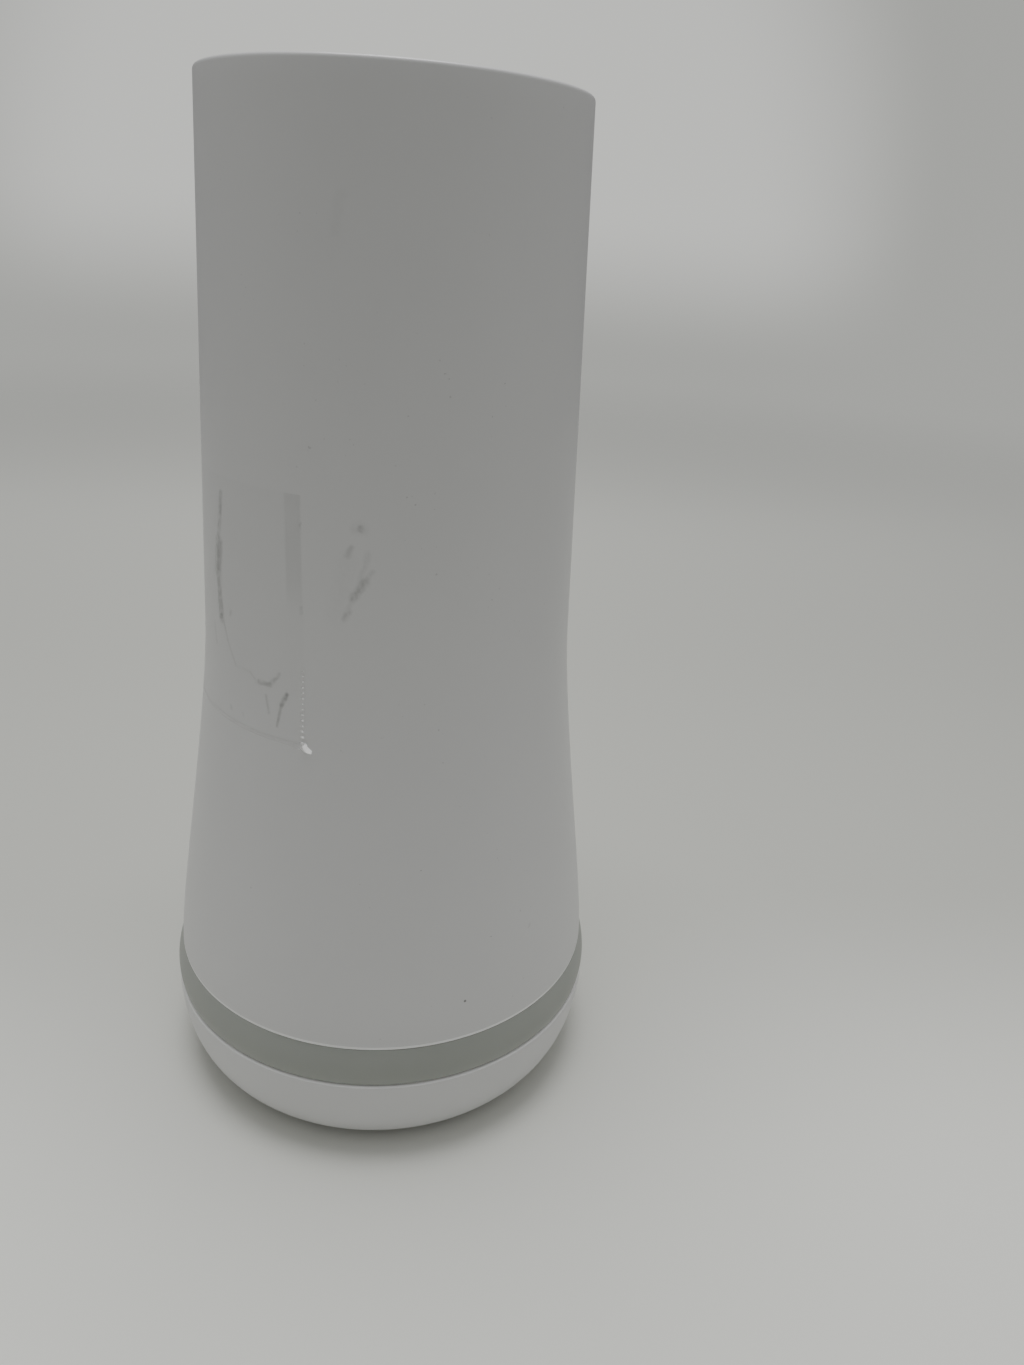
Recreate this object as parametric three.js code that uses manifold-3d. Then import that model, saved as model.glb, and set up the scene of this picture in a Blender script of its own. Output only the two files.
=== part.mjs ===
// A mesh wifi node: a tapered tower on a light ring and a rounded base.
// Millimetres, +Z up. The origin is the centre of the underside, on the surface
// that the node stands on. The front faces -Y and the port panel faces +Y.

import * as THREE from 'three';
import { mergeVertices } from 'three/addons/utils/BufferGeometryUtils.js';
import Module from 'manifold-3d';

const wasm = await Module();
wasm.setup();

// ---------------------------------------------------------------- sizes

// Tower outline
const height = 208.6;
const topRadius = 35.5;
const kneeRadius = 38.8; // where the flared foot has become the straight upper taper
const kneeHeight = 108;
const rimRadius = 48; // lower rim of the tower
const rimUpright = 10; // how far the flare starts straight up from the rim
const kneeSoftness = 20; // how far below the knee the upper taper is already felt
const shellWall = 2.4;
const topEdgeRound = 0.8;

// Base and light ring
const footHeight = 0.9;
const baseBottom = 1.2;
const baseHeight = 19.8;
const baseProud = 1.3; // base and ring stand this far outside the tower rim
const cornerWidth = 10.4; // width of the rounded corner between side and underside
const ringHeight = 8.4;
const ringThickness = 2.4;
const ringBulge = 0.65;
const ringBulgeHeight = 0.4; // share of the ring's height at which it bulges most
const ringInset = 0.1; // of the ring's lower edge inside the side of the base
const ringOutset = 0.2; // of the ring's upper edge outside the tower rim
const baseWall = 2.4;
const cornerPullOut = 0.6; // share of the corner's width over which the underside stays flat
const cornerPullDown = 0.59; // share of the base's height over which the side stays upright
const cornerInside = 4; // how far below the top of the base the corner starts inside
const shelfWidth = 2.5; // of the shelf under the edge of the LED board
const shelfThickness = 1.6;
const footWidth = 6;
const footInset = 1; // of the foot inside the flat underside
const footTaper = 0.4;
const ventPitch = 13; // degrees
const ventsPerGroup = 5;
const ventLength = 6;
const ventWidth = 2;
const labelWidth = 28;
const labelDepth = 18;
const labelThickness = 0.2;

// Fits
const gap = 0.3; // between pieces that touch
const slack = 0.8; // between the carrier and the inside of the tower

// Printed boards and what stands on them
const boardThickness = 1.6;
const boardFront = 4.4; // the main board's front face lies this far behind the tower axis
const boardAbovePlate = 2;
const boardBelowHoop = 4;
const boardScrewMargin = 5; // from the board's top edge, and from the bay to the lower screws
const holdInset = 3.6; // of the board screws and antenna sockets from the board's edge
const tinThickness = 0.5;
const canDepth = 2.5;
const padDepth = 1;
const canInset = 3; // of the cans' sides inside the heat sink's
const padInset = 5; // of the pads' sides inside the heat sink's
const padMargin = 3; // of the pads' ends inside the cans'
const sinkBase = 3;
const finThickness = 1.4;
const finCount = 9;
const sinkInset = 7.5; // of the heat sink's side from the board's edge
const sinkAboveBay = 2;
const sinkBelowBoardTop = 12;
const spreaderThickness = 2;
const spreaderFlange = 6;
const radiosAboveBay = 10;
const radioSpacing = 4; // between the two radio cans
const ledCount = 6;
const ledSize = 1.6;
const ledHeight = 1.3;
const ledInset = 1.4; // of the middle of an LED from the board's edge
const ledBoardClearance = 1.1; // between the LED board and the inside of the ring
const ledBoardWidth = 15.5;
const reflectorInset = 3; // of the reflector's foot from the LED board's edge
const reflectorWidth = 2.4;
const cableHalfWidth = 4;
const cableThickness = 0.4;

// Carrier
const plateThickness = 2.4;
const hoopHeight = 3.4;
const uprightDepth = 3;
const uprightHalfWidth = 4;
const sideUprightReach = 4; // in front of and behind the main board
const sideUprightWall = 3.3; // outside the board's edge
const boardGrip = 1.2; // how deep the board's edge sits in its groove
const rearUprightAboveBay = 8;
const hoopReach = 3; // how far the hoop reaches inside the line of the uprights
const postInset = 5; // of the posts' circle inside the LED board
const postBottom = 9;
const plateOpeningInset = 4; // of the plate's opening inside the posts' circle
const boardBoss = { inward: 2.4, outward: 3.4, depth: 3, halfHeight: 3 };
const antennaWidth = 9;
const antennaThickness = 0.8;
const antennaLength = 52;
const frontAntennaAngle = 38; // degrees either side of the front
const rearAntennaAngle = 32; // degrees either side of the rear
const leadRadius = 0.57;
const leadDrop = 12; // from an antenna's lower end to its socket
const socketRadius = 1.6;
const socketHalfDepth = 0.7;

// Port panel
const bayBottomAboveRim = 7;
const bayHeight = 42;
const bayWall = 2;
const panelFace = 28; // distance of the port panel behind the tower axis
const panelThickness = 2.4;
const jackWidth = 15.9;
const jackHeight = 13.4;
const jackSpacing = 0.6; // between one jack and the next
const jackCount = 3;
const jackMargin = 1.5; // above and below, between the jacks and the wall of the bay
const jackSideMargin = 0.5;
const jackRecess = 0.1; // of a jack's face behind the panel's
const mouthWidth = 11.8;
const mouthHeight = 7.6;
const mouthDepth = 13;
const latchWidth = 6.2;
const latchHeight = 2.6;
const powerJackWidth = 9;
const powerJackHeight = 11;
const powerHoleRadius = 3.1;
const powerHoleDepth = 12;
const powerPinRadius = 1;
const powerPinRecess = 2;

// Buttons: cap radius, how far the cap stands out of the panel, and the travel
const powerButton = { radius: 3.6, proud: 1.6, travel: 1.5, switchWidth: 8, switchDepth: 10.7 };
const wpsButton = { radius: 2.8, proud: 1, travel: 0.8, switchWidth: 6.2, switchDepth: 5 };
const resetButton = { radius: 1.6, proud: -4.5, travel: 0.5, switchWidth: 6.2, switchDepth: 5 };
const resetHoleRadius = 1.2;
const stemRadius = 1.6;
const flangeWidth = 1;
const flangeThickness = 1.6;
const flangeGap = 0.4;
const buttonPitch = 12;

// Fasteners
const screwRadius = 1.3;
const screwHeadRadius = 2.8;
const screwHeadHeight = 1.3;
const screwGrip = 9; // of the base screws in the carrier's posts
const screwHoleDepth = 12;
const screwAngles = [90, 210, 330]; // round the base and round the ledge at the top
const boardScrewRadius = 1;
const boardScrewHeadRadius = 2;
const boardScrewHeadHeight = 1.4;
const boardScrewGrip = 2.5;
const bossWall = 1.8;

// Top cap
const ledgeDepth = 6.5; // of the ledge below the top edge
const ledgeThickness = 2;
const ledgeWidth = 9.5;
const capInset = 0.6; // of the cap's face below the top edge
const capThickness = 2.4;
const ventGap = 1.5; // open ring between the cap and the tower wall
const capEdge = 0.5; // bevel
const pegRadius = 2;
const pegInset = 1; // of the pegs from the cap's edge
const ledgeVentDepth = 3;
const ledgeVentHalfWidth = 4;

const roundSides = 48; // sides of the large round pieces
const smallSides = 16; // sides of the small round pieces
const buttonSides = 24;
const shankSides = 12; // sides of the screws' shanks
const innerSides = 32; // sides of the round pieces inside
const past = 1; // how far a cut or a join runs past the face that it meets

// The weight in the base
const ballastThickness = 6;
const ballastClearance = 0.6;
const ballastInset = 2; // of its edge inside the flat underside

// ------------------------------------------------------- worked-out places

const rimHeight = baseBottom + baseHeight + gap + ringHeight + gap;
const baseTop = baseBottom + baseHeight;
const ringBottom = baseTop + gap;
const ringTop = rimHeight - gap;
const baseRadius = rimRadius + baseProud;
const underRadius = baseRadius - cornerWidth;
const ringInner = rimRadius - ringThickness;

const ledgeTop = height - ledgeDepth;
const ledgeBottom = ledgeTop - ledgeThickness;
const hoopTop = ledgeBottom - gap;
const hoopBottom = hoopTop - hoopHeight;
const plateTop = rimHeight + plateThickness;

const boardRear = boardFront + boardThickness;
const boardBottom = plateTop + boardAbovePlate;
const boardTop = hoopBottom - boardBelowHoop;

const bayBottom = rimHeight + bayBottomAboveRim;
const bayTop = bayBottom + bayHeight;
const jackPitch = jackWidth + jackSpacing;
const bayInnerHalf = (jackPitch * jackCount) / 2 + jackSideMargin;
const bayHalf = bayInnerHalf + bayWall;
const jackRow = bayBottom + bayWall + jackMargin + jackHeight / 2;
const buttonRow = bayTop - bayWall - jackMargin - powerJackHeight / 2;
const panelBack = panelFace - panelThickness;

const outline = towerOutline();
const innerTop = outerRadiusAt(hoopTop) - shellWall;
const hoopRadius = innerTop - slack;
const uprightRadius = hoopRadius - antennaThickness - gap - uprightDepth / 2;
const sideReachFromAxis = boardRear + sideUprightReach;
const sideOuter = Math.sqrt(hoopRadius ** 2 - sideReachFromAxis ** 2);
const boardHalf = sideOuter - sideUprightWall;
const boardHoldX = boardHalf - holdInset; // line of the board screws and antenna sockets
const sinkHalf = boardHalf - sinkInset;
const sinkBottom = bayTop + sinkAboveBay;
const sinkTop = boardTop - sinkBelowBoardTop;
const antennaMiddle = (bayTop + hoopTop) / 2;
const antennaBottom = antennaMiddle - antennaLength / 2;
const socketHeight = antennaBottom - leadDrop;

const ledBoardBottom = baseTop + gap;
const ledBoardOuter = ringInner - ledBoardClearance;
const ledBoardInner = ledBoardOuter - ledBoardWidth;
const ledTop = ledBoardBottom + boardThickness;
const postCircle = ledBoardInner - postInset;
const plateOpening = postCircle - plateOpeningInset;
const postRadius = screwRadius + gap + bossWall;
const ballastInner = postCircle + postRadius + ballastClearance;
const ballastOuter = underRadius - ballastInset;
const hoopInner = uprightRadius - hoopReach;

// ------------------------------------------------------------- geometry

function towerOutline() {
  const taper = (topRadius - kneeRadius) / (height - kneeHeight);
  const flare = new THREE.CubicBezierCurve(
    new THREE.Vector2(rimRadius, rimHeight),
    new THREE.Vector2(rimRadius, rimHeight + rimUpright),
    new THREE.Vector2(kneeRadius - taper * kneeSoftness, kneeHeight - kneeSoftness),
    new THREE.Vector2(kneeRadius, kneeHeight),
  );
  return [...flare.getPoints(9), new THREE.Vector2(topRadius, height)];
}

function outerRadiusAt(z) {
  const above = Math.max(1, outline.findIndex((point) => point.y >= z));
  const low = outline[above - 1];
  const high = outline[above];
  return THREE.MathUtils.mapLinear(z, low.y, high.y, low.x, high.x);
}

function onCircle(degrees, radius) {
  const angle = THREE.MathUtils.degToRad(degrees);
  return [radius * Math.cos(angle), radius * Math.sin(angle)];
}

// A closed three.js mesh as a solid that can be joined and cut.
function solid(geometry) {
  const bare = geometry.clone();
  bare.deleteAttribute('normal');
  bare.deleteAttribute('uv');
  const merged = mergeVertices(bare);
  const corners = merged.index.array;
  const triangles = [];
  for (let i = 0; i < corners.length; i += 3) {
    const [a, b, c] = [corners[i], corners[i + 1], corners[i + 2]];
    if (a !== b && b !== c && c !== a) {
      triangles.push(a, b, c);
    }
  }
  return new wasm.Manifold(new wasm.Mesh({
    numProp: 3,
    vertProperties: new Float32Array(merged.attributes.position.array),
    triVerts: new Uint32Array(triangles),
  }));
}

function between(a, b) {
  return [Math.min(a, b), Math.max(a, b)];
}

function join(first, ...others) {
  return others.reduce((whole, other) => whole.add(other), first);
}

function cut(whole, ...tools) {
  return tools.reduce((rest, tool) => rest.subtract(tool), whole);
}

function box([x0, x1], [y0, y1], [z0, z1]) {
  const geometry = new THREE.BoxGeometry(x1 - x0, y1 - y0, z1 - z0);
  return solid(geometry.translate((x0 + x1) / 2, (y0 + y1) / 2, (z0 + z1) / 2));
}

// Upright cylinder at x, y between two heights.
function rod(radius, [x, y], [z0, z1], sides = smallSides) {
  const geometry = new THREE.CylinderGeometry(radius, radius, z1 - z0, sides);
  return solid(geometry.rotateX(Math.PI / 2).translate(x, y, (z0 + z1) / 2));
}

// Cylinder along Y at x, z.
function pin(radius, [x, z], [y0, y1], sides = smallSides) {
  const geometry = new THREE.CylinderGeometry(radius, radius, y1 - y0, sides);
  return solid(geometry.translate(x, (y0 + y1) / 2, z));
}

// Solid of revolution about Z from a profile of radius and height, taken anticlockwise.
function turned(profile, sides = roundSides) {
  const points = profile.map((point) => (point.isVector2 ? point : new THREE.Vector2(...point)));
  if (points[0].x > 0) {
    points.push(points[0]);
  }
  return solid(new THREE.LatheGeometry(points, sides).rotateX(Math.PI / 2));
}

function washer(inner, outer, [z0, z1], sides = roundSides) {
  return turned([[inner, z0], [outer, z0], [outer, z1], [inner, z1]], sides);
}

// A flat bar that stands upright at an angle round the tower axis, with its face outward.
function upright(degrees, radius, depth, halfWidth, [z0, z1]) {
  const geometry = new THREE.BoxGeometry(depth, halfWidth * 2, z1 - z0);
  geometry.translate(radius, 0, (z0 + z1) / 2);
  return solid(geometry.rotateZ(THREE.MathUtils.degToRad(degrees)));
}

// ---------------------------------------------------------- outer casings

function towerShell() {
  const rounding = [30, 60, 90].map((degrees) => {
    const [across, up] = onCircle(degrees, topEdgeRound);
    return [outerRadiusAt(height - topEdgeRound) - topEdgeRound + across, height - topEdgeRound + up];
  });
  const outside = outline.slice(0, -1);
  outside.push(new THREE.Vector2(outerRadiusAt(height - topEdgeRound), height - topEdgeRound));
  const lip = outerRadiusAt(height) - shellWall;
  const insideTop = outerRadiusAt(ledgeBottom) - shellWall;
  const inside = outline.slice(0, -1).reverse().map((point) => [point.x - shellWall, point.y]);
  const shell = turned([
    ...outside,
    ...rounding,
    [lip, height],
    [outerRadiusAt(ledgeTop) - shellWall, ledgeTop],
    [lip - ledgeWidth, ledgeTop],
    [lip - ledgeWidth, ledgeBottom],
    [insideTop, ledgeBottom],
    ...inside,
  ]);
  const bay = box(
    [-bayHalf - gap, bayHalf + gap],
    [panelBack - gap, rimRadius * 2],
    [bayBottom - gap, bayTop + gap],
  );
  const ledgeSpan = [ledgeBottom - past, ledgeTop + past];
  const screwHoles = topScrewPlaces().map((at) => rod(screwRadius + gap, at, ledgeSpan));
  const ventAngles = Array.from({ length: 12 }, (_, index) => index * 30)
    .filter((degrees) => !screwAngles.includes(degrees));
  const vents = ventAngles.map((degrees) => (
    upright(degrees, lip - ledgeWidth / 2, ledgeVentDepth, ledgeVentHalfWidth, ledgeSpan)
  ));
  return cut(shell, bay, ...screwHoles, ...vents);
}

function topCap() {
  const radius = outerRadiusAt(height) - shellWall - ventGap;
  const top = height - capInset;
  const cap = turned([
    [0, top - capThickness],
    [radius, top - capThickness],
    [radius, top - capEdge],
    [radius - capEdge, top],
    [0, top],
  ]);
  const pegs = [45, 135, 225, 315].map((degrees) => (
    rod(pegRadius, onCircle(degrees, radius - pegRadius - pegInset), [ledgeTop + gap, top - past])
  ));
  return join(cap, ...pegs);
}

function lightRing() {
  const face = new THREE.QuadraticBezierCurve(
    new THREE.Vector2(baseRadius - ringInset, ringBottom),
    new THREE.Vector2(baseRadius + ringBulge, ringBottom + ringHeight * ringBulgeHeight),
    new THREE.Vector2(rimRadius + ringOutset, ringTop),
  );
  return turned([...face.getPoints(6), [ringInner, ringTop], [ringInner, ringBottom]]);
}

// The side of the base turns under through one soft corner.
function baseCorner(radius, under, bottom, top) {
  return new THREE.CubicBezierCurve(
    new THREE.Vector2(under, bottom),
    new THREE.Vector2(under + cornerWidth * cornerPullOut, bottom),
    new THREE.Vector2(radius, top - baseHeight * cornerPullDown),
    new THREE.Vector2(radius, top),
  ).getPoints(8);
}

function baseBowl() {
  const floorTop = baseBottom + baseWall;
  const shelf = ledBoardOuter - shelfWidth;
  const side = baseRadius - baseWall;
  const inside = baseCorner(side, underRadius - footInset, floorTop, baseTop - cornerInside);
  const bowl = turned([
    [0, baseBottom],
    ...baseCorner(baseRadius, underRadius, baseBottom, baseTop),
    [shelf, baseTop],
    [shelf, baseTop - shelfThickness],
    ...inside.reverse(),
    [0, floorTop],
  ]);
  const bosses = baseScrewPlaces().map((at) => (
    rod(postRadius, at, [floorTop - past, postBottom - gap])
  ));
  const holes = baseScrewPlaces().map((at) => (
    rod(screwRadius + gap, at, [0, postBottom + past])
  ));
  const sinks = baseScrewPlaces().map((at) => (
    rod(screwHeadRadius + gap, at, [0, baseBottom + screwHeadHeight + gap])
  ));
  const vents = [];
  for (const beside of screwAngles) {
    const first = beside + 60 - (ventPitch * (ventsPerGroup - 1)) / 2;
    for (let index = 0; index < ventsPerGroup; index += 1) {
      const degrees = first + index * ventPitch;
      vents.push(upright(degrees, postCircle, ventLength, ventWidth / 2, [0, floorTop + past]));
    }
  }
  return cut(join(bowl, ...bosses), ...holes, ...sinks, ...vents);
}

function footRing() {
  const outer = underRadius - footInset;
  return turned([
    [outer - footWidth, footHeight],
    [outer - footWidth + footTaper, 0],
    [outer - footTaper, 0],
    [outer, footHeight],
  ]);
}

function ballastPlate() {
  const bottom = baseBottom + baseWall + gap;
  return washer(ballastInner, ballastOuter, [bottom, bottom + ballastThickness], innerSides);
}

function ratingLabel() {
  const across = [-labelWidth / 2, labelWidth / 2];
  const along = [-labelDepth / 2, labelDepth / 2];
  return box(across, along, [baseBottom - gap - labelThickness, baseBottom - gap]);
}

// ------------------------------------------------------------ port panel

function jackMiddle(index) {
  return (index - (jackCount - 1) / 2) * jackPitch;
}

const powerJackX = -buttonPitch * 1.5;
const powerButtonX = -buttonPitch / 2;
const wpsButtonX = buttonPitch / 2;
const resetButtonX = buttonPitch * 1.5;

function portPanel() {
  const outside = box([-bayHalf, bayHalf], [panelBack, rimRadius * 2], [bayBottom, bayTop]);
  const inside = box(
    [-bayInnerHalf, bayInnerHalf],
    [panelFace, rimRadius * 2 + past],
    [bayBottom + bayWall, bayTop - bayWall],
  );
  const flush = gap / 2;
  const towerBody = turned([
    [0, rimHeight],
    ...outline.map((point) => [point.x - flush, point.y]),
    [0, height],
  ]);
  const span = [panelBack - past, panelFace + past];
  const windows = [];
  for (let index = 0; index < jackCount; index += 1) {
    windows.push(windowFor(jackMiddle(index), jackRow, jackWidth, jackHeight));
  }
  windows.push(windowFor(powerJackX, buttonRow, powerJackWidth, powerJackHeight));
  const holes = [
    pin(powerButton.radius + gap, [powerButtonX, buttonRow], span, buttonSides),
    pin(wpsButton.radius + gap, [wpsButtonX, buttonRow], span, buttonSides),
    pin(resetHoleRadius, [resetButtonX, buttonRow], span),
  ];
  return cut(outside, inside, ...windows, ...holes).intersect(towerBody);
}

function windowFor(x, z, width, tall) {
  return box(
    [x - width / 2 - gap, x + width / 2 + gap],
    [panelBack - past, panelFace + past],
    [z - tall / 2 - gap, z + tall / 2 + gap],
  );
}

function networkJack(x) {
  const front = panelFace - jackRecess;
  const body = box(
    [x - jackWidth / 2, x + jackWidth / 2],
    [boardRear + gap, front],
    [jackRow - jackHeight / 2, jackRow + jackHeight / 2],
  );
  const mouthBottom = jackRow - mouthHeight / 2 + latchHeight / 2;
  const mouth = box(
    [x - mouthWidth / 2, x + mouthWidth / 2],
    [front - mouthDepth, front + past],
    [mouthBottom, mouthBottom + mouthHeight],
  );
  const latch = box(
    [x - latchWidth / 2, x + latchWidth / 2],
    [front - mouthDepth, front + past],
    [mouthBottom - latchHeight, mouthBottom + past],
  );
  return cut(body, mouth, latch);
}

function powerJack() {
  const front = panelFace - jackRecess;
  const at = [powerJackX, buttonRow];
  const body = box(
    [powerJackX - powerJackWidth / 2, powerJackX + powerJackWidth / 2],
    [boardRear + gap, front],
    [buttonRow - powerJackHeight / 2, buttonRow + powerJackHeight / 2],
  );
  const hole = pin(powerHoleRadius, at, [front - powerHoleDepth, front + past], buttonSides);
  const post = pin(powerPinRadius, at, [front - powerHoleDepth - past, front - powerPinRecess]);
  return join(cut(body, hole), post);
}

// ------------------------------------------------ buttons and their switches

function switchFront(button) {
  return boardRear + gap + button.switchDepth;
}

// The stem ends inside the switch, with a little more room behind it than the travel.
function stemEnd(button) {
  return switchFront(button) - gap * 3;
}

function panelButton(button, x) {
  const at = [x, buttonRow];
  const back = panelBack - flangeGap;
  return join(
    pin(button.radius, at, [back - flangeThickness / 2, panelFace + button.proud], buttonSides),
    pin(button.radius + flangeWidth, at, [back - flangeThickness, back], buttonSides),
    pin(stemRadius, at, [stemEnd(button), back]),
  );
}

function recessedPlunger(button, x) {
  return pin(button.radius, [x, buttonRow], [stemEnd(button), panelFace + button.proud]);
}

function pushSwitch(button, x) {
  const half = button.switchWidth / 2;
  const front = switchFront(button);
  const body = box([x - half, x + half], [boardRear + gap, front], [buttonRow - half, buttonRow + half]);
  const room = stemEnd(button) - button.travel - gap;
  return cut(body, pin(stemRadius + gap, [x, buttonRow], [room, front + past]));
}

// ------------------------------------------------------- carrier and boards

function topScrewPlaces() {
  return screwAngles.map((degrees) => onCircle(degrees, uprightRadius));
}

function baseScrewPlaces() {
  return screwAngles.map((degrees) => onCircle(degrees, postCircle));
}

function boardScrewPlaces() {
  const heights = [bayTop + boardScrewMargin, boardTop - boardScrewMargin];
  return heights.flatMap((z) => [[-boardHoldX, z], [boardHoldX, z]]);
}

function antennaAngles() {
  return [
    -90 - frontAntennaAngle,
    -90 + frontAntennaAngle,
    90 - rearAntennaAngle,
    90 + rearAntennaAngle,
  ];
}

function carrier() {
  const plateRadius = rimRadius - shellWall - gap;
  const plate = washer(plateOpening, plateRadius, [rimHeight, plateTop]);
  const hoop = washer(hoopInner, hoopRadius, [hoopBottom, hoopTop], innerSides);
  const posts = baseScrewPlaces().map((at) => (
    rod(postRadius, at, [postBottom, plateTop])
  ));
  const postHoles = baseScrewPlaces().map((at) => (
    rod(screwRadius + gap, at, [postBottom - past, postBottom + screwHoleDepth])
  ));
  const hoopHoles = topScrewPlaces().map((at) => (
    rod(screwRadius + gap, at, [hoopBottom - past, hoopTop + past])
  ));
  const bars = antennaAngles().map((degrees) => {
    const foot = degrees > 0 ? bayTop + rearUprightAboveBay : plateTop - past;
    return upright(degrees, uprightRadius, uprightDepth, uprightHalfWidth, [foot, hoopTop - past]);
  });
  const sides = [-1, 1].map(sideUpright);
  const bosses = boardScrewPlaces().map(([x, z]) => {
    const inward = x - Math.sign(x) * boardBoss.inward;
    const outward = x + Math.sign(x) * boardBoss.outward;
    return box(
      between(inward, outward),
      [boardFront - gap - boardBoss.depth, boardFront - gap],
      [z - boardBoss.halfHeight, z + boardBoss.halfHeight],
    );
  });
  const boardHoles = boardScrewPlaces().map((at) => (
    pin(boardScrewRadius + gap, at, [boardFront - gap - boardBoss.depth - past, boardFront])
  ));
  const roomForJacks = box(
    [-bayInnerHalf, bayInnerHalf],
    [boardRear + gap, rimRadius],
    [bayBottom, bayTop],
  );
  const whole = join(plate, hoop, ...posts, ...bars, ...sides, ...bosses);
  return cut(whole, ...postHoles, ...hoopHoles, ...boardHoles, roomForJacks);
}

// One of the two grooved bars that hold the edges of the main board.
function sideUpright(side) {
  const inner = boardHalf - boardGrip;
  const across = (low, high) => (side > 0 ? [low, high] : [-high, -low]);
  const bar = box(
    across(inner, sideOuter),
    [boardFront - sideUprightReach + past, boardRear + sideUprightReach - past],
    [plateTop - past, hoopTop - past],
  );
  const groove = box(
    across(inner - past, boardHalf + gap),
    [boardFront - gap, boardRear + gap],
    [plateTop, hoopBottom - past],
  );
  return bar.subtract(groove);
}

function mainBoard() {
  const board = box([-boardHalf, boardHalf], [boardFront, boardRear], [boardBottom, boardTop]);
  const holes = boardScrewPlaces().map((at) => (
    pin(boardScrewRadius + gap, at, [boardFront - past, boardRear + past])
  ));
  return cut(board, ...holes);
}

// Five-sided tin can over part of the main board; side is -1 in front of it and +1 behind it.
function shieldCan(side, half, [z0, z1]) {
  const near = side > 0 ? boardRear + gap : boardFront - gap;
  const far = near + side * canDepth;
  const outside = box([-half, half], between(near, far), [z0, z1]);
  const inside = box(
    [-half + tinThickness, half - tinThickness],
    between(near - side * past, far - side * tinThickness),
    [z0 + tinThickness, z1 - tinThickness],
  );
  return outside.subtract(inside);
}

function thermalPad(side, half, [z0, z1]) {
  const near = (side > 0 ? boardRear : boardFront) + side * (gap + canDepth + gap);
  const far = near + side * padDepth;
  return box([-half, half], between(near, far), [z0, z1]);
}

function processorSpan() {
  const middle = (sinkBottom + sinkTop) / 2;
  return [middle - sinkHalf, middle + sinkHalf];
}

function radioSpan(index) {
  const low = bayTop + radiosAboveBay;
  const each = (sinkTop - low - radioSpacing) / 2;
  const bottom = low + index * (each + radioSpacing);
  return [bottom, bottom + each];
}

function inset([low, high], by) {
  return [low + by, high - by];
}

// Base plate with upright fins, as one extruded comb that points to the front.
function heatSink() {
  const back = boardFront - gap - canDepth - gap - padDepth - gap;
  const root = back - sinkBase;
  const [barFace] = onCircle(frontAntennaAngle, uprightRadius - uprightDepth / 2);
  const [, barCorner] = onCircle(frontAntennaAngle, uprightHalfWidth);
  const tip = -barFace + barCorner + slack;
  const pitch = (2 * sinkHalf - finThickness) / (finCount - 1);
  const comb = new THREE.Shape();
  comb.moveTo(-sinkHalf, back);
  for (let fin = 0; fin < finCount; fin += 1) {
    const left = -sinkHalf + fin * pitch;
    comb.lineTo(left, fin === 0 ? tip : root);
    comb.lineTo(left, tip);
    comb.lineTo(left + finThickness, tip);
    comb.lineTo(left + finThickness, fin === finCount - 1 ? tip : root);
  }
  comb.lineTo(sinkHalf, back);
  const bar = new THREE.ExtrudeGeometry(comb, { depth: sinkTop - sinkBottom, bevelEnabled: false });
  return solid(bar.translate(0, 0, sinkBottom));
}

function heatSpreader() {
  const face = boardRear + gap + canDepth + gap + padDepth + gap;
  const low = radioSpan(0)[0];
  const plate = box([-sinkHalf, sinkHalf], [face, face + spreaderThickness], [low, sinkTop]);
  const flanges = [-1, 1].map((side) => box(
    side > 0 ? [sinkHalf - spreaderThickness, sinkHalf] : [-sinkHalf, -sinkHalf + spreaderThickness],
    [face + spreaderThickness / 2, face + spreaderFlange],
    [low, sinkTop],
  ));
  return join(plate, ...flanges);
}

function antenna(degrees) {
  const radius = uprightRadius + uprightDepth / 2 + gap + antennaThickness / 2;
  const span = [antennaBottom, antennaBottom + antennaLength];
  return upright(degrees, radius, antennaThickness, antennaWidth / 2, span);
}

// Where an antenna's lead plugs onto the board: x, y of the socket's middle.
function socketPlace(degrees) {
  const side = Math.cos(THREE.MathUtils.degToRad(degrees)) > 0 ? 1 : -1;
  const reach = gap + socketHalfDepth;
  const y = degrees > 0 ? boardRear + reach : boardFront - reach;
  return [side * boardHoldX, y];
}

function antennaSocket(degrees) {
  const [x, y] = socketPlace(degrees);
  return pin(socketRadius, [x, socketHeight], [y - socketHalfDepth, y + socketHalfDepth]);
}

// Down from the antenna, round the outer corner of its bar, and down into the socket.
function antennaLead(degrees) {
  const radius = uprightRadius + uprightDepth / 2 + gap + antennaThickness / 2;
  const [x, y] = socketPlace(degrees);
  const top = antennaBottom - gap;
  const low = socketHeight + socketRadius + gap;
  const turn = Math.sign(x) * Math.sign(y - boardFront);
  const beside = (angle, distance, z) => (
    new THREE.Vector3(...onCircle(degrees - turn * angle, distance), z)
  );
  const route = new THREE.CatmullRomCurve3([
    beside(0, radius, top),
    beside(1, radius, top - 2),
    beside(11, radius + 1.2, top - 5),
    beside(22, radius - 1, top - 6.5),
    new THREE.Vector3(x + Math.sign(x) * 0.8, y + Math.sign(y - boardFront) * 3, low + 2.2),
    new THREE.Vector3(x, y, low + 0.8),
    new THREE.Vector3(x, y, low),
  ]);
  const section = new THREE.Shape().absarc(0, 0, leadRadius, 0, Math.PI * 2);
  const steps = { steps: 16, curveSegments: 4, extrudePath: route };
  return solid(new THREE.ExtrudeGeometry(section, steps));
}

function ledBoard() {
  return washer(ledBoardInner, ledBoardOuter, [ledBoardBottom, ledTop]);
}

function led(index) {
  const degrees = -90 + (index * 360) / ledCount;
  const span = [ledTop + gap, ledTop + gap + ledHeight];
  return upright(degrees, ledBoardOuter - ledInset, ledSize, ledSize, span);
}

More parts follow.
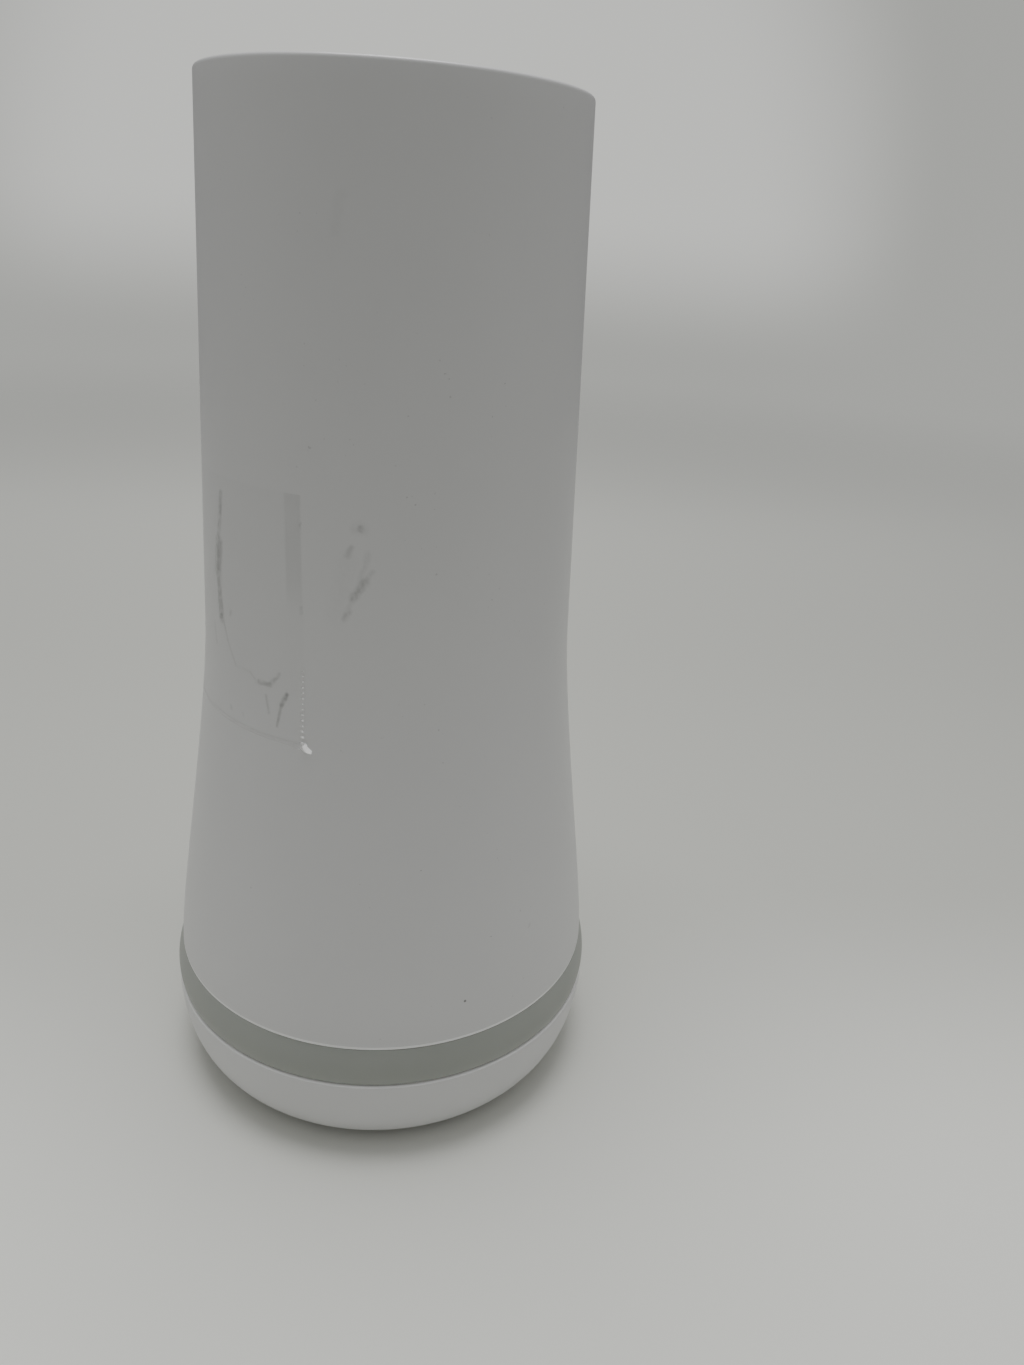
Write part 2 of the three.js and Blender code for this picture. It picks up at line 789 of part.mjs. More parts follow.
function reflectorRing() {
  const outer = ledBoardOuter - reflectorInset;
  const inner = outer - reflectorWidth;
  return turned([
    [inner, ledTop + gap],
    [outer, ledTop + gap],
    [outer - reflectorWidth / 2, ringTop - gap],
    [inner, ringTop - gap],
  ], innerSides);
}

// Flat cable from the foot of the main board, through the plate, to the ring of lights.
function ledCable() {
  const front = boardFront - gap;
  const run = new THREE.CubicBezierCurve(
    new THREE.Vector2(front, rimHeight + 2),
    new THREE.Vector2(front, ledTop + 3),
    new THREE.Vector2(front - 8, ledTop + gap),
    new THREE.Vector2(-ledBoardInner / 2, ledTop + gap),
  ).getPoints(6);
  const start = new THREE.Vector2(front, boardBottom + 12);
  const end = new THREE.Vector2(-ledBoardInner - 4, ledTop + gap);
  const near = [start, ...run, end];
  const across = new THREE.Vector2(-cableThickness, cableThickness);
  const far = near.map((point) => point.clone().add(across)).reverse();
  const edge = new THREE.Shape([...near, ...far]);
  const band = new THREE.ExtrudeGeometry(edge, { depth: 2 * cableHalfWidth, bevelEnabled: false });
  const upward = new THREE.Matrix4().makeBasis(
    new THREE.Vector3(0, 1, 0),
    new THREE.Vector3(0, 0, 1),
    new THREE.Vector3(1, 0, 0),
  );
  return solid(band.applyMatrix4(upward).translate(-cableHalfWidth, 0, 0));
}

// ------------------------------------------------------------- fasteners

function uprightScrew(at, head, tip) {
  const under = head + Math.sign(tip - head) * screwHeadHeight;
  const inHead = (head + under) / 2;
  return join(
    rod(screwHeadRadius, at, between(head, under)),
    rod(screwRadius, at, between(inHead, tip), shankSides),
  );
}

function boardScrew(at) {
  const under = boardRear + gap;
  const tip = boardFront - gap - boardScrewGrip;
  return join(
    pin(boardScrewHeadRadius, at, [under, under + boardScrewHeadHeight]),
    pin(boardScrewRadius, at, [tip, under + boardScrewHeadHeight / 2], shankSides),
  );
}

// --------------------------------------------------------------- assembly

function finish(colour, roughness, metalness = 0) {
  return new THREE.MeshStandardMaterial({ color: colour, roughness, metalness });
}

const shellWhite = finish('#dfdfe1', 0.4);
const baseWhite = finish('#e3e3e3', 0.4);
const diffuser = finish('#b4bbae', 0.3);
const portBlack = finish('#1b1c1e', 0.45);
const panelGrey = finish('#3a3b3d', 0.55);
const rubber = finish('#202122', 0.85);
const steel = finish('#8d9093', 0.35, 0.9);
const tin = finish('#c2c5c7', 0.3, 0.9);
const aluminium = finish('#b4b7ba', 0.4, 0.9);
const boardGreen = finish('#1d4a33', 0.5);
const padBlue = finish('#7f9db8', 0.8);
const white = finish('#e8e8e4', 0.5);
const naturalPlastic = finish('#2c2d30', 0.6);
const paper = finish('#dadad6', 0.6);
const leadBlack = finish('#18181a', 0.5);
const brass = finish('#c8a24a', 0.3, 0.9);

const node = new THREE.Group();

function geometryOf(whole) {
  const { vertProperties, triVerts } = whole.getMesh();
  const geometry = new THREE.BufferGeometry();
  geometry.setAttribute('position', new THREE.BufferAttribute(vertProperties, 3));
  geometry.setIndex(new THREE.BufferAttribute(triVerts, 1));
  geometry.computeVertexNormals();
  return geometry;
}

function place(name, whole, material) {
  const mesh = new THREE.Mesh(geometryOf(whole), material);
  mesh.name = name;
  node.add(mesh);
}

function placeEach(name, wholes, material) {
  wholes.forEach((whole, index) => place(`${name}_${index + 1}`, whole, material));
}

place('tower_shell', towerShell(), shellWhite);
place('top_cap', topCap(), shellWhite);
place('light_ring', lightRing(), diffuser);
place('base_bowl', baseBowl(), baseWhite);
place('foot_ring', footRing(), rubber);
place('ballast_plate', ballastPlate(), steel);
place('rating_label', ratingLabel(), paper);

place('port_panel', portPanel(), panelGrey);
place('wan_jack', networkJack(jackMiddle(0)), portBlack);
place('lan_jack_1', networkJack(jackMiddle(1)), portBlack);
place('lan_jack_2', networkJack(jackMiddle(2)), portBlack);
place('power_jack', powerJack(), portBlack);
place('power_button', panelButton(powerButton, powerButtonX), portBlack);
place('wps_button', panelButton(wpsButton, wpsButtonX), portBlack);
place('reset_plunger', recessedPlunger(resetButton, resetButtonX), portBlack);
place('power_switch', pushSwitch(powerButton, powerButtonX), naturalPlastic);
place('wps_switch', pushSwitch(wpsButton, wpsButtonX), naturalPlastic);
place('reset_switch', pushSwitch(resetButton, resetButtonX), naturalPlastic);

place('carrier', carrier(), naturalPlastic);
place('main_board', mainBoard(), boardGreen);
place('heat_sink', heatSink(), aluminium);
place('heat_spreader', heatSpreader(), aluminium);
place('processor_can', shieldCan(-1, sinkHalf - canInset, processorSpan()), tin);
place('processor_pad', thermalPad(-1, sinkHalf - padInset, inset(processorSpan(), padMargin)), padBlue);
placeEach('radio_can', [0, 1].map((index) => shieldCan(1, sinkHalf - canInset, radioSpan(index))), tin);
placeEach('radio_pad', [0, 1].map((index) => (
  thermalPad(1, sinkHalf - padInset, inset(radioSpan(index), padMargin))
)), padBlue);
placeEach('antenna', antennaAngles().map(antenna), boardGreen);
placeEach('antenna_lead', antennaAngles().map(antennaLead), leadBlack);
placeEach('antenna_socket', antennaAngles().map(antennaSocket), brass);

place('led_board', ledBoard(), white);
place('reflector_ring', reflectorRing(), white);
placeEach('led', Array.from({ length: ledCount }, (_, index) => led(index)), white);
place('led_cable', ledCable(), white);

placeEach('base_screw', baseScrewPlaces().map((at) => (
  uprightScrew(at, baseBottom + gap, postBottom + screwGrip)
)), steel);
placeEach('top_screw', topScrewPlaces().map((at) => (
  uprightScrew(at, ledgeTop + gap + screwHeadHeight, hoopBottom)
)), steel);
placeEach('board_screw', boardScrewPlaces().map(boardScrew), steel);

export default node;
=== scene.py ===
"""A white tower-shaped mesh wifi node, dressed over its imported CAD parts. Metres throughout."""

import math

import bmesh
import bpy
from mathutils import Matrix, Vector


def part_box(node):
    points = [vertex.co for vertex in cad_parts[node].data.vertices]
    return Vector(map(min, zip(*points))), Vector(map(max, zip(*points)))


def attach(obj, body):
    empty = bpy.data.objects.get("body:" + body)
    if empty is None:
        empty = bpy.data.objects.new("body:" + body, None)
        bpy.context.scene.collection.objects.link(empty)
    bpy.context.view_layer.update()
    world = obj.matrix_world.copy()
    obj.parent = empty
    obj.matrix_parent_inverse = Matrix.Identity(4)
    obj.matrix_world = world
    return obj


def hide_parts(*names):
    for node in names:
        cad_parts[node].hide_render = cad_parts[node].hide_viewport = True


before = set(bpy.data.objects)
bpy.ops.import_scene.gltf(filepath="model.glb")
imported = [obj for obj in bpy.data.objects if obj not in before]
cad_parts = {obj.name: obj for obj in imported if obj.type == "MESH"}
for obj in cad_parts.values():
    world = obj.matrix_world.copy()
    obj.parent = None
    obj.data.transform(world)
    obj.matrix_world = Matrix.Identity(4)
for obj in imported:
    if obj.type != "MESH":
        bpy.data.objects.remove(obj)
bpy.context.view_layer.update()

MM = 0.001
HOUSING = "housing"
ROUND = 192  # sides of the large turned pieces
SMALL_ROUND = 48  # sides of the small turned pieces

SHELL_LOW, SHELL_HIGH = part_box("tower_shell")
RING_LOW, RING_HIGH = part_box("light_ring")
BASE_LOW, BASE_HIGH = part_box("base_bowl")
CAP_LOW, CAP_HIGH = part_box("top_cap")
FOOT_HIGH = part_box("foot_ring")[1]
PANEL_LOW, PANEL_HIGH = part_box("port_panel")

# Tower outline: a flared foot that eases into a straight taper at the knee
RIM_RADIUS = SHELL_HIGH.x
RIM_HEIGHT = SHELL_LOW.z
TOP_HEIGHT = SHELL_HIGH.z
TOP_RADIUS = 35.5 * MM
KNEE_RADIUS = 38.8 * MM
KNEE_HEIGHT = 108 * MM
RIM_UPRIGHT = 10 * MM
KNEE_SOFTNESS = 20 * MM
FLARE_STEPS = 28
WALL = 2.4 * MM


# ------------------------------------------------------------------ camera

CAMERA_PLACE = (0, -0.2130, 0.1852)
CAMERA_TURN = 7.42  # degrees to the right
CAMERA_TILT = 23.45  # degrees downwards
CAMERA_ROLL = 3.84  # degrees
CAMERA_LENS = 27.1  # millimetres, on a sensor 36 mm wide


def add_camera():
    """The camera stands close in front, a little above the top, and looks down with a slight roll."""
    turn = math.radians(CAMERA_TURN)
    tilt = math.radians(CAMERA_TILT)
    roll = math.radians(CAMERA_ROLL)
    forward = Vector((math.sin(turn) * math.cos(tilt), math.cos(turn) * math.cos(tilt), -math.sin(tilt)))
    level = Vector((math.cos(turn), -math.sin(turn), 0))
    upright = level.cross(forward)
    right = level * math.cos(roll) + upright * math.sin(roll)
    up = upright * math.cos(roll) - level * math.sin(roll)
    data = bpy.data.cameras.new("camera")
    data.sensor_width = 36
    data.lens = CAMERA_LENS
    data.clip_start = 0.01
    camera = bpy.data.objects.new("camera", data)
    facing = Matrix((right, up, -forward)).transposed().to_4x4()
    camera.matrix_world = Matrix.Translation(CAMERA_PLACE) @ facing
    bpy.context.scene.collection.objects.link(camera)
    bpy.context.scene.camera = camera


add_camera()


# --------------------------------------------------------- shader arithmetic


class Wire:
    """A socket in a graph, so that sums on it can be written as sums."""

    def __init__(self, graph, socket):
        self.graph = graph
        self.socket = socket

    def math(self, operation, *values):
        return self.graph.node("ShaderNodeMath", {"operation": operation}, dict(enumerate(values)))

    def __add__(self, other):
        return self.math("ADD", self, other)

    def __radd__(self, other):
        return self.math("ADD", other, self)

    def __sub__(self, other):
        return self.math("SUBTRACT", self, other)

    def __rsub__(self, other):
        return self.math("SUBTRACT", other, self)

    def __mul__(self, other):
        return self.math("MULTIPLY", self, other)

    def __rmul__(self, other):
        return self.math("MULTIPLY", other, self)

    def at_most(self, other):
        return self.math("MINIMUM", self, other)

    def at_least(self, other):
        return self.math("MAXIMUM", self, other)

    def sine(self):
        return self.math("SINE", self)

    def size(self):
        return self.math("ABSOLUTE", self)


class Graph:
    """A node tree and the one way that nodes are added to it."""

    def __init__(self, tree):
        self.tree = tree

    def node(self, kind, settings=None, inputs=None, output=0):
        made = self.tree.nodes.new(kind)
        for setting, value in (settings or {}).items():
            setattr(made, setting, value)
        for socket, value in (inputs or {}).items():
            self.feed(made.inputs[socket], value)
        return Wire(self, made.outputs[output]) if made.outputs else None

    def feed(self, socket, value):
        if isinstance(value, Wire):
            self.tree.links.new(value.socket, socket)
        else:
            socket.default_value = value

    def vector(self, operation, first, second, output=0):
        settings = {"operation": operation}
        return self.node("ShaderNodeVectorMath", settings, {0: first, 1: second}, output)

    def scaled(self, vector, amount):
        return self.node("ShaderNodeVectorMath", {"operation": "SCALE"}, {0: vector, "Scale": amount})

    def split(self, vector, part):
        return self.node("ShaderNodeSeparateXYZ", None, {0: vector}, "XYZ".index(part))

    def ease(self, value, low, high):
        """0 below low and 1 above high, with a smooth change between; high may be below low."""
        settings = {"interpolation_type": "SMOOTHSTEP"}
        return self.node("ShaderNodeMapRange", settings, {"Value": value, "From Min": low, "From Max": high})

    def tint(self, amount, none, full):
        """A colour between two others."""
        settings = {"data_type": "RGBA"}
        return self.node("ShaderNodeMix", settings, {0: amount, 6: none, 7: full}, 2)


class Finish(Graph):
    """A material: its graph, its main shader and the textures that finishes share."""

    def __init__(self, name):
        self.material = bpy.data.materials.new(name)
        self.material.use_nodes = True
        super().__init__(self.material.node_tree)
        self.shader = self.tree.nodes["Principled BSDF"]
        self.place = self.node("ShaderNodeTexCoord", None, None, "Object")

    def shade(self, sockets):
        for name, value in sockets.items():
            self.feed(self.shader.inputs[name], value)
        return self.material

    def noise(self, size, detail=2.0, where=None):
        """Soft noise from 0 to 1 whose patches are about size across."""
        inputs = {"Vector": where or self.place, "Scale": 1 / size, "Detail": detail}
        return self.node("ShaderNodeTexNoise", None, inputs)

    def stretched(self, x, y, z):
        """Object coordinates scaled along each axis."""
        return self.vector("MULTIPLY", self.place, (x, y, z))

    def bump(self, height, distance, strength):
        """A normal from a height that runs from 0 to 1 over the given distance."""
        inputs = {"Height": height, "Distance": distance, "Strength": strength}
        return self.node("ShaderNodeBump", None, inputs)

    def streak(self, start, end, width, where=None):
        """1 on the line from start to end, fading to 0 at width from it."""
        start = Vector(start)
        along = Vector(end) - start
        length = max(along.length, 1e-5)
        along = along / length
        offset = self.vector("SUBTRACT", where or self.place, start)
        reach = self.vector("DOT_PRODUCT", offset, along, "Value").at_least(0).at_most(length)
        away = self.vector("DISTANCE", offset, self.scaled(along, reach), "Value")
        return self.ease(away, width, 0)

    def marks(self, rows, where=None):
        """The strongest of several streaks on the tower, each with its two ends, width and depth."""
        strongest = None
        for start, end, width, depth in rows:
            mark = depth * self.streak(tower_point(*start), tower_point(*end), width, where)
            strongest = mark if strongest is None else strongest.at_least(mark)
        return strongest


def grey(value):
    return (value, value, value, 1)


# ------------------------------------------------------------------- shapes


def bezier(start, first, second, end, steps):
    """Points on a cubic curve, both ends included."""
    points = []
    for step in range(steps + 1):
        t = step / steps
        weights = ((1 - t) ** 3, 3 * t * (1 - t) ** 2, 3 * t * t * (1 - t), t ** 3)
        corners = (start, first, second, end)
        points.append(tuple(sum(w * c[i] for w, c in zip(weights, corners)) for i in (0, 1)))
    return points


def rounded(corners, steps=5):
    """An outline whose corners (x, y, radius) are turned into short curves."""
    outline = []
    count = len(corners)
    for index, (x, y, radius) in enumerate(corners):
        corner = Vector((x, y))
        if radius <= 0:
            outline.append((x, y))
            continue
        before = Vector(corners[index - 1][:2]) - corner
        after = Vector(corners[(index + 1) % count][:2]) - corner
        start = corner + before.normalized() * min(radius, before.length / 2)
        end = corner + after.normalized() * min(radius, after.length / 2)
        for step in range(steps + 1):
            t = step / steps
            point = start * (1 - t) ** 2 + corner * 2 * t * (1 - t) + end * t * t
            outline.append((point.x, point.y))
    return outline


def revolve(outline, sides=ROUND):
    """A solid turned about Z from a closed outline of (radius, height); a radius of 0 is a pole."""
    shape = bmesh.new()
    rings = []
    for radius, height in outline:
        if radius < 1e-7:
            rings.append([shape.verts.new((0, 0, height))] * sides)
            continue
        angles = [math.tau * side / sides for side in range(sides)]
        rings.append([shape.verts.new((radius * math.cos(a), radius * math.sin(a), height)) for a in angles])
    for index, ring in enumerate(rings):
        other = rings[(index + 1) % len(rings)]
        for side in range(sides):
            after = (side + 1) % sides
            corners = dict.fromkeys((ring[side], ring[after], other[after], other[side]))
            if len(corners) > 2:
                shape.faces.new(corners)
    bmesh.ops.recalc_face_normals(shape, faces=shape.faces)
    return shape


def prism(outline, low, high):
    """A solid with an outline in X and Z that runs along Y from low to high."""
    shape = bmesh.new()
    front = [shape.verts.new((x, low, z)) for x, z in outline]
    back = [shape.verts.new((x, high, z)) for x, z in outline]
    shape.faces.new(front)
    shape.faces.new(reversed(back))
    count = len(outline)
    for index in range(count):
        after = (index + 1) % count
        shape.faces.new((front[index], back[index], back[after], front[after]))
    bmesh.ops.recalc_face_normals(shape, faces=shape.faces)
    return shape


def block(x, y, z, corner=0.0):
    """A box between three pairs of limits, with its four edges along Y rounded."""
    corners = [(x[0], z[0], corner), (x[1], z[0], corner), (x[1], z[1], corner), (x[0], z[1], corner)]
    return prism(rounded(corners), *y)


def lying(shape, x, z):
    """A solid turned about Z, laid along +Y through x, z."""
    shape.transform(Matrix.Translation((x, 0, z)) @ Matrix.Rotation(-math.pi / 2, 4, "X"))
    return shape


def together(*shapes):
    """Several solids as one mesh."""
    whole = bmesh.new()
    for shape in shapes:
        mesh = bpy.data.meshes.new("part")
        shape.to_mesh(mesh)
        shape.free()
        whole.from_mesh(mesh)
        bpy.data.meshes.remove(mesh)
    return whole


def raw_object(name, shape):
    mesh = bpy.data.meshes.new(name)
    shape.to_mesh(mesh)
    shape.free()
    thing = bpy.data.objects.new(name, mesh)
    bpy.context.scene.collection.objects.link(thing)
    return thing


def combine(shape, tool, operation="DIFFERENCE"):
    """The shape cut by the tool, or joined to it, or kept only inside it."""
    body = raw_object("body", shape)
    cutter = raw_object("cutter", tool)
    modifier = body.modifiers.new("combine", "BOOLEAN")
    modifier.operation = operation
    modifier.object = cutter
    modifier.solver = "EXACT"
    bpy.context.view_layer.update()
    result = bmesh.new()
    result.from_object(body, bpy.context.evaluated_depsgraph_get())
    for thing in (body, cutter):
        mesh = thing.data
        bpy.data.objects.remove(thing)
        bpy.data.meshes.remove(mesh)
    return result


def soften(shape, width, angle=35):
    """Rounds the edges where two faces meet at more than an angle in degrees."""
    limit = math.radians(angle)
    edges = [e for e in shape.edges if len(e.link_faces) == 2 and e.calc_face_angle() > limit]
    bmesh.ops.bevel(
        shape, geom=edges, offset=width, segments=2, profile=0.5, affect="EDGES", clamp_overlap=True
    )
    return shape


def piece(name, shape, material, nodes=(), body=HOUSING, angle=32):
    """A finished piece that rides on a body and may stand for CAD nodes."""
    thing = raw_object(name, shape)
    thing.data.materials.append(material)
    thing.data.shade_smooth()
    thing.data.set_sharp_from_angle(angle=math.radians(angle))
    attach(thing, body)
    if nodes:
        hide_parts(*nodes)


def numbered(name, count):
    return [f"{name}_{index + 1}" for index in range(count)]


def tower_point(degrees, height, out=0.0):
    """A point on the tower's outside, at an angle from +X and a height above the floor."""
    radius = tower_radius(height) + out
    angle = math.radians(degrees)
    return Vector((radius * math.cos(angle), radius * math.sin(angle), height))


def tower_outline():
    """The outside of the foot, from the rim up to the knee, as (radius, height)."""
    taper = (TOP_RADIUS - KNEE_RADIUS) / (TOP_HEIGHT - KNEE_HEIGHT)
    return bezier(
        (RIM_RADIUS, RIM_HEIGHT),
        (RIM_RADIUS, RIM_HEIGHT + RIM_UPRIGHT),
        (KNEE_RADIUS - taper * KNEE_SOFTNESS, KNEE_HEIGHT - KNEE_SOFTNESS),
        (KNEE_RADIUS, KNEE_HEIGHT),
        FLARE_STEPS,
    )


OUTLINE = tower_outline() + [(TOP_RADIUS, TOP_HEIGHT)]


def tower_radius(height):
    for (low_r, low_z), (high_r, high_z) in zip(OUTLINE, OUTLINE[1:]):
        if height <= high_z:
            share = (height - low_z) / (high_z - low_z)
            return low_r + (high_r - low_r) * max(share, 0)
    return TOP_RADIUS


# ---------------------------------------------------------------- materials


def moulded(name, colour, rough, grain=0.02 * MM):
    """Satin moulded plastic with a fine spark-eroded grain and a faint unevenness of gloss."""
    finish = Finish(name)
    cloud = finish.noise(22 * MM, 3)
    fine = finish.noise(0.45 * MM, 2)
    handled = finish.ease(finish.noise(9 * MM, 4), 0.45, 0.7)
    shade = tuple(c * 0.965 for c in colour[:3]) + (1,)
    finish.shade({
        "Base Color": finish.tint(cloud, shade, colour),
        "Roughness": rough + 0.05 * (cloud - 0.5) + 0.04 * handled + 0.05 * (fine - 0.5),
        "Normal": finish.bump(fine, grain, 0.35),
    })
    return finish


SHELL_WHITE = grey(0.69)
SHELL_CLOUDED = grey(0.665)
# Near-white for the highlights painted on the shell's bottom edge and on the bowl's top edge.
PAINTED_HIGHLIGHT_WHITE = grey(0.95)
SMUDGE_GREY = grey(0.22)
SPECK_GREY = grey(0.03)


def base_finish():
    """The same satin white, with a highlight painted along the upper edge of the bowl."""
    finish = moulded("base_white", grey(0.72), 0.38)
    height = finish.split(finish.place, "Z")
    # A highlight is painted in here: the colour turns near-white along the bowl's top edge.
    edge = finish.ease(height, BASE_HIGH.z - 0.55 * MM, BASE_HIGH.z - 0.25 * MM)
    plain = Wire(finish, finish.shader.inputs["Base Color"].links[0].from_socket)
    return finish.shade({"Base Color": finish.tint(edge, plain, PAINTED_HIGHLIGHT_WHITE)})


# Smudges on the tower: two ends as (angle, height), the width and how dark
SMUDGES = (
    ((-97.8, 137.2 * MM), (-98.1, 136.9 * MM), 1.0 * MM, 0.6),
    ((-97.8, 137.2 * MM), (-99.0, 137.0 * MM), 1.8 * MM, 0.14),
    ((-100.6, 133.4 * MM), (-101.8, 131.9 * MM), 1.0 * MM, 0.3),
    ((-96.4, 132.5 * MM), (-98.4, 127.0 * MM), 1.0 * MM, 0.16),
    ((-95.0, 129.3 * MM), (-97.0, 127.4 * MM), 1.0 * MM, 0.3),
    ((-97.0, 127.4 * MM), (-100.0, 124.4 * MM), 1.4 * MM, 0.48),
    ((-100.0, 124.4 * MM), (-101.6, 121.9 * MM), 1.0 * MM, 0.24),
    ((-101.2, 121.6 * MM), (-102.4, 120.6 * MM), 1.1 * MM, 0.34),
    ((-101.6, 131.0 * MM), (-104.6, 120.4 * MM), 3.0 * MM, 0.05),
    ((-104.0, 189.0 * MM), (-105.5, 184.0 * MM), 1.5 * MM, 0.06),
    ((-48.1, 50.4 * MM), (-48.4, 50.1 * MM), 0.6 * MM, 0.2),
)

# Dark specks: angle, height and size
SPECKS = (
    (-69.4, 38.9 * MM, 0.45 * MM),
    (-61.5, 52.0 * MM, 0.16 * MM),
    (-81.0, 70.0 * MM, 0.14 * MM),
    (-128.0, 61.0 * MM, 0.14 * MM),
)


def tower_finish():
    """White satin plastic with the smudges and dust of a handled tower, and a highlight painted along the
    bottom edge of the shell.
    """
    finish = Finish("tower_white")
    cloud = finish.noise(24 * MM, 3)
    fine = finish.noise(0.4 * MM, 2)
    warp = finish.node("ShaderNodeTexNoise", None, {"Vector": finish.place, "Scale": 1 / (3 * MM)}, 1)
    shift = finish.scaled(finish.vector("SUBTRACT", warp, (0.5, 0.5, 0.5)), 1.6 * MM)
    ragged = finish.vector("ADD", finish.place, shift)
    patchy = finish.ease(finish.noise(0.9 * MM, 3), 0.35, 0.65)
    smudges = finish.marks(SMUDGES, ragged) * (0.6 + 0.4 * patchy)
    specks = None
    for degrees, height, size in SPECKS:
        spot = tower_point(degrees, height)
        mark = finish.streak(spot, spot, size)
        specks = mark if specks is None else specks.at_least(mark)
    height = finish.split(finish.place, "Z")
    # A highlight is painted along the bottom 0.6 mm of the shell, which is also made a little glossier
    # there.
    rim_highlight = finish.ease(height, RIM_HEIGHT + 0.6 * MM, RIM_HEIGHT + 0.3 * MM)
    dust = finish.ease(finish.noise(0.7 * MM, 1), 0.74, 0.80) * finish.ease(finish.noise(14 * MM), 0.5, 0.65)
    clean = finish.tint(cloud, SHELL_CLOUDED, SHELL_WHITE)
    highlighted = finish.tint(rim_highlight, clean, PAINTED_HIGHLIGHT_WHITE)
    marked = finish.tint(smudges.at_least(0.35 * dust), highlighted, SMUDGE_GREY)
    finish.shade({
        "Base Color": finish.tint(specks, marked, SPECK_GREY),
        "Roughness": 0.36 + 0.06 * (cloud - 0.5) + 0.2 * smudges - 0.08 * rim_highlight + 0.05 * (fine - 0.5),
        "Normal": finish.bump(fine, 0.015 * MM, 0.3),
        "Coat Weight": 0.12,
        "Coat Roughness": 0.25,
    })
    return finish.material


def diffuser_finish():
    """Frosted light guide, grey-green where no lamp is lit behind it, with painted shade along its lowest
    edge.
    """
    finish = Finish("ring_diffuser")
    cloud = finish.noise(12 * MM, 2)
    fine = finish.noise(0.3 * MM, 2)
    height = finish.split(finish.place, "Z")
    # Painted shade: the colour darkens over the lowest 0.6 mm of the ring, beside the joint with the base.
    low = finish.ease(height, RING_LOW.z + 0.6 * MM, RING_LOW.z)
    body = finish.tint(cloud, (0.345, 0.36, 0.335, 1), (0.38, 0.395, 0.367, 1))
    finish.shade({
        "Base Color": finish.tint(0.35 * low, body, (0.2, 0.21, 0.19, 1)),
        "Roughness": 0.42 + 0.06 * (cloud - 0.5),
        "Normal": finish.bump(fine, 0.01 * MM, 0.3),
        "Specular IOR Level": 0.25,
        "Subsurface Weight": 0.25,
        "Subsurface Radius": (0.004, 0.004, 0.003),
    })
    return finish.material


def rubber_finish():
    finish = Finish("foot_rubber")
    fine = finish.noise(0.6 * MM, 4)
    finish.shade({
        "Base Color": finish.tint(fine, grey(0.018), grey(0.034)),
        "Roughness": 0.78 + 0.15 * (fine - 0.5),
        "Normal": finish.bump(fine, 0.06 * MM, 0.5),
    })
    return finish.material


def metal_finish(name, colour, rough):
    """Metal with fine level lines of rolling or turning."""
    worn = 0.3
    finish = Finish(name)
    lines = finish.noise(0.8 * MM, 3, finish.stretched(1, 1, 12))
    cloud = finish.noise(6 * MM, 3)
    dull = tuple(c * 0.82 for c in colour[:3]) + (1,)
    finish.shade({
        "Base Color": finish.tint(worn * cloud + (1 - worn) * lines, dull, colour),
        "Metallic": 1.0,
        "Roughness": rough + 0.18 * (lines - 0.5) + 0.08 * (cloud - 0.5),
        "Normal": finish.bump(lines, 0.01 * MM, 0.4),
    })
    return finish.material


def board_finish():
    """Green solder mask over copper tracks, with rows of tinned pads."""
    finish = Finish("solder_mask")
    cell = finish.node(
        "ShaderNodeTexVoronoi",
        {"feature": "DISTANCE_TO_EDGE", "distance": "CHEBYCHEV"},
        {"Vector": finish.place, "Scale": 1 / (5 * MM)},
    )
    tracks = finish.ease(cell, 0.06, 0.03)
    pads = finish.ease(finish.noise(1.6 * MM, 0), 0.68, 0.70)
    mask = finish.tint(tracks, (0.012, 0.085, 0.045, 1), (0.03, 0.16, 0.08, 1))
    finish.shade({
        "Base Color": finish.tint(pads, mask, (0.55, 0.54, 0.5, 1)),
        "Metallic": 0.9 * pads,
        "Roughness": 0.32 + 0.1 * pads,
        "Normal": finish.bump(tracks.at_least(pads), 0.03 * MM, 0.5),
        "Coat Weight": 0.4 - 0.4 * pads,
        "Coat Roughness": 0.12,
    })
    return finish.material


def pad_finish():
    finish = Finish("thermal_pad")
    fine = finish.noise(0.5 * MM, 3)
    finish.shade({
        "Base Color": finish.tint(fine, (0.2, 0.3, 0.42, 1), (0.28, 0.4, 0.53, 1)),
        "Roughness": 0.7 + 0.2 * (fine - 0.5),
        "Normal": finish.bump(fine, 0.05 * MM, 0.5),
    })
    return finish.material


def label_finish():
    """Blank silver-grey film label with a printed border."""
    finish = Finish("blank_label")
    low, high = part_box("rating_label")
    middle = (low + high) / 2
    half = (high - low) / 2
    offset = finish.vector("ABSOLUTE", finish.vector("SUBTRACT", finish.place, middle), (0, 0, 0))
    margin = 1.2 * MM
    inside_x = half.x - margin - finish.split(offset, "X")
    inside_y = half.y - margin - finish.split(offset, "Y")
    border = finish.ease(inside_x.at_most(inside_y).size(), 0.2 * MM, 0.14 * MM)
    fibre = finish.noise(0.8 * MM, 3)
    paper = finish.tint(fibre, grey(0.62), grey(0.68))
    finish.shade({
        "Base Color": finish.tint(border, paper, grey(0.08)),
        "Roughness": 0.42 + 0.1 * (fibre - 0.5),
        "Normal": finish.bump(fibre, 0.01 * MM, 0.3),
    })
    return finish.material


# Packing tape: its cut end and its other end as angles, and its edges as heights
TAPE_END = -113.8
TAPE_START = -212.0
TAPE_LOW = 93.8 * MM
TAPE_HEIGHT = 48.0 * MM
TOOTH_PITCH = 1.1 * MM
TOOTH_DEPTH = 0.5  # degrees
END_LEAN = 1.1  # degrees that the cut end leans back over its height
CURL_TURN = 2.6  # degrees that the loose corner reaches past the cut end
CURL_DROP = 0.9 * MM
CURL_HEIGHT = 0.03  # of the film's height
CREASE_ANGLE = -148
CREASE_WIDTH = 1.1  # degrees
CREASE_HEIGHT = 0.62  # of the film's height
CREASE_LENGTH = 0.3  # of the film's height
CREASE_LIFT = 0.3 * MM
CORNER_WIDTH = 2.0  # degrees
CORNER_LIFT = 0.5 * MM

FILM_MARK_DEPTH = 0.3

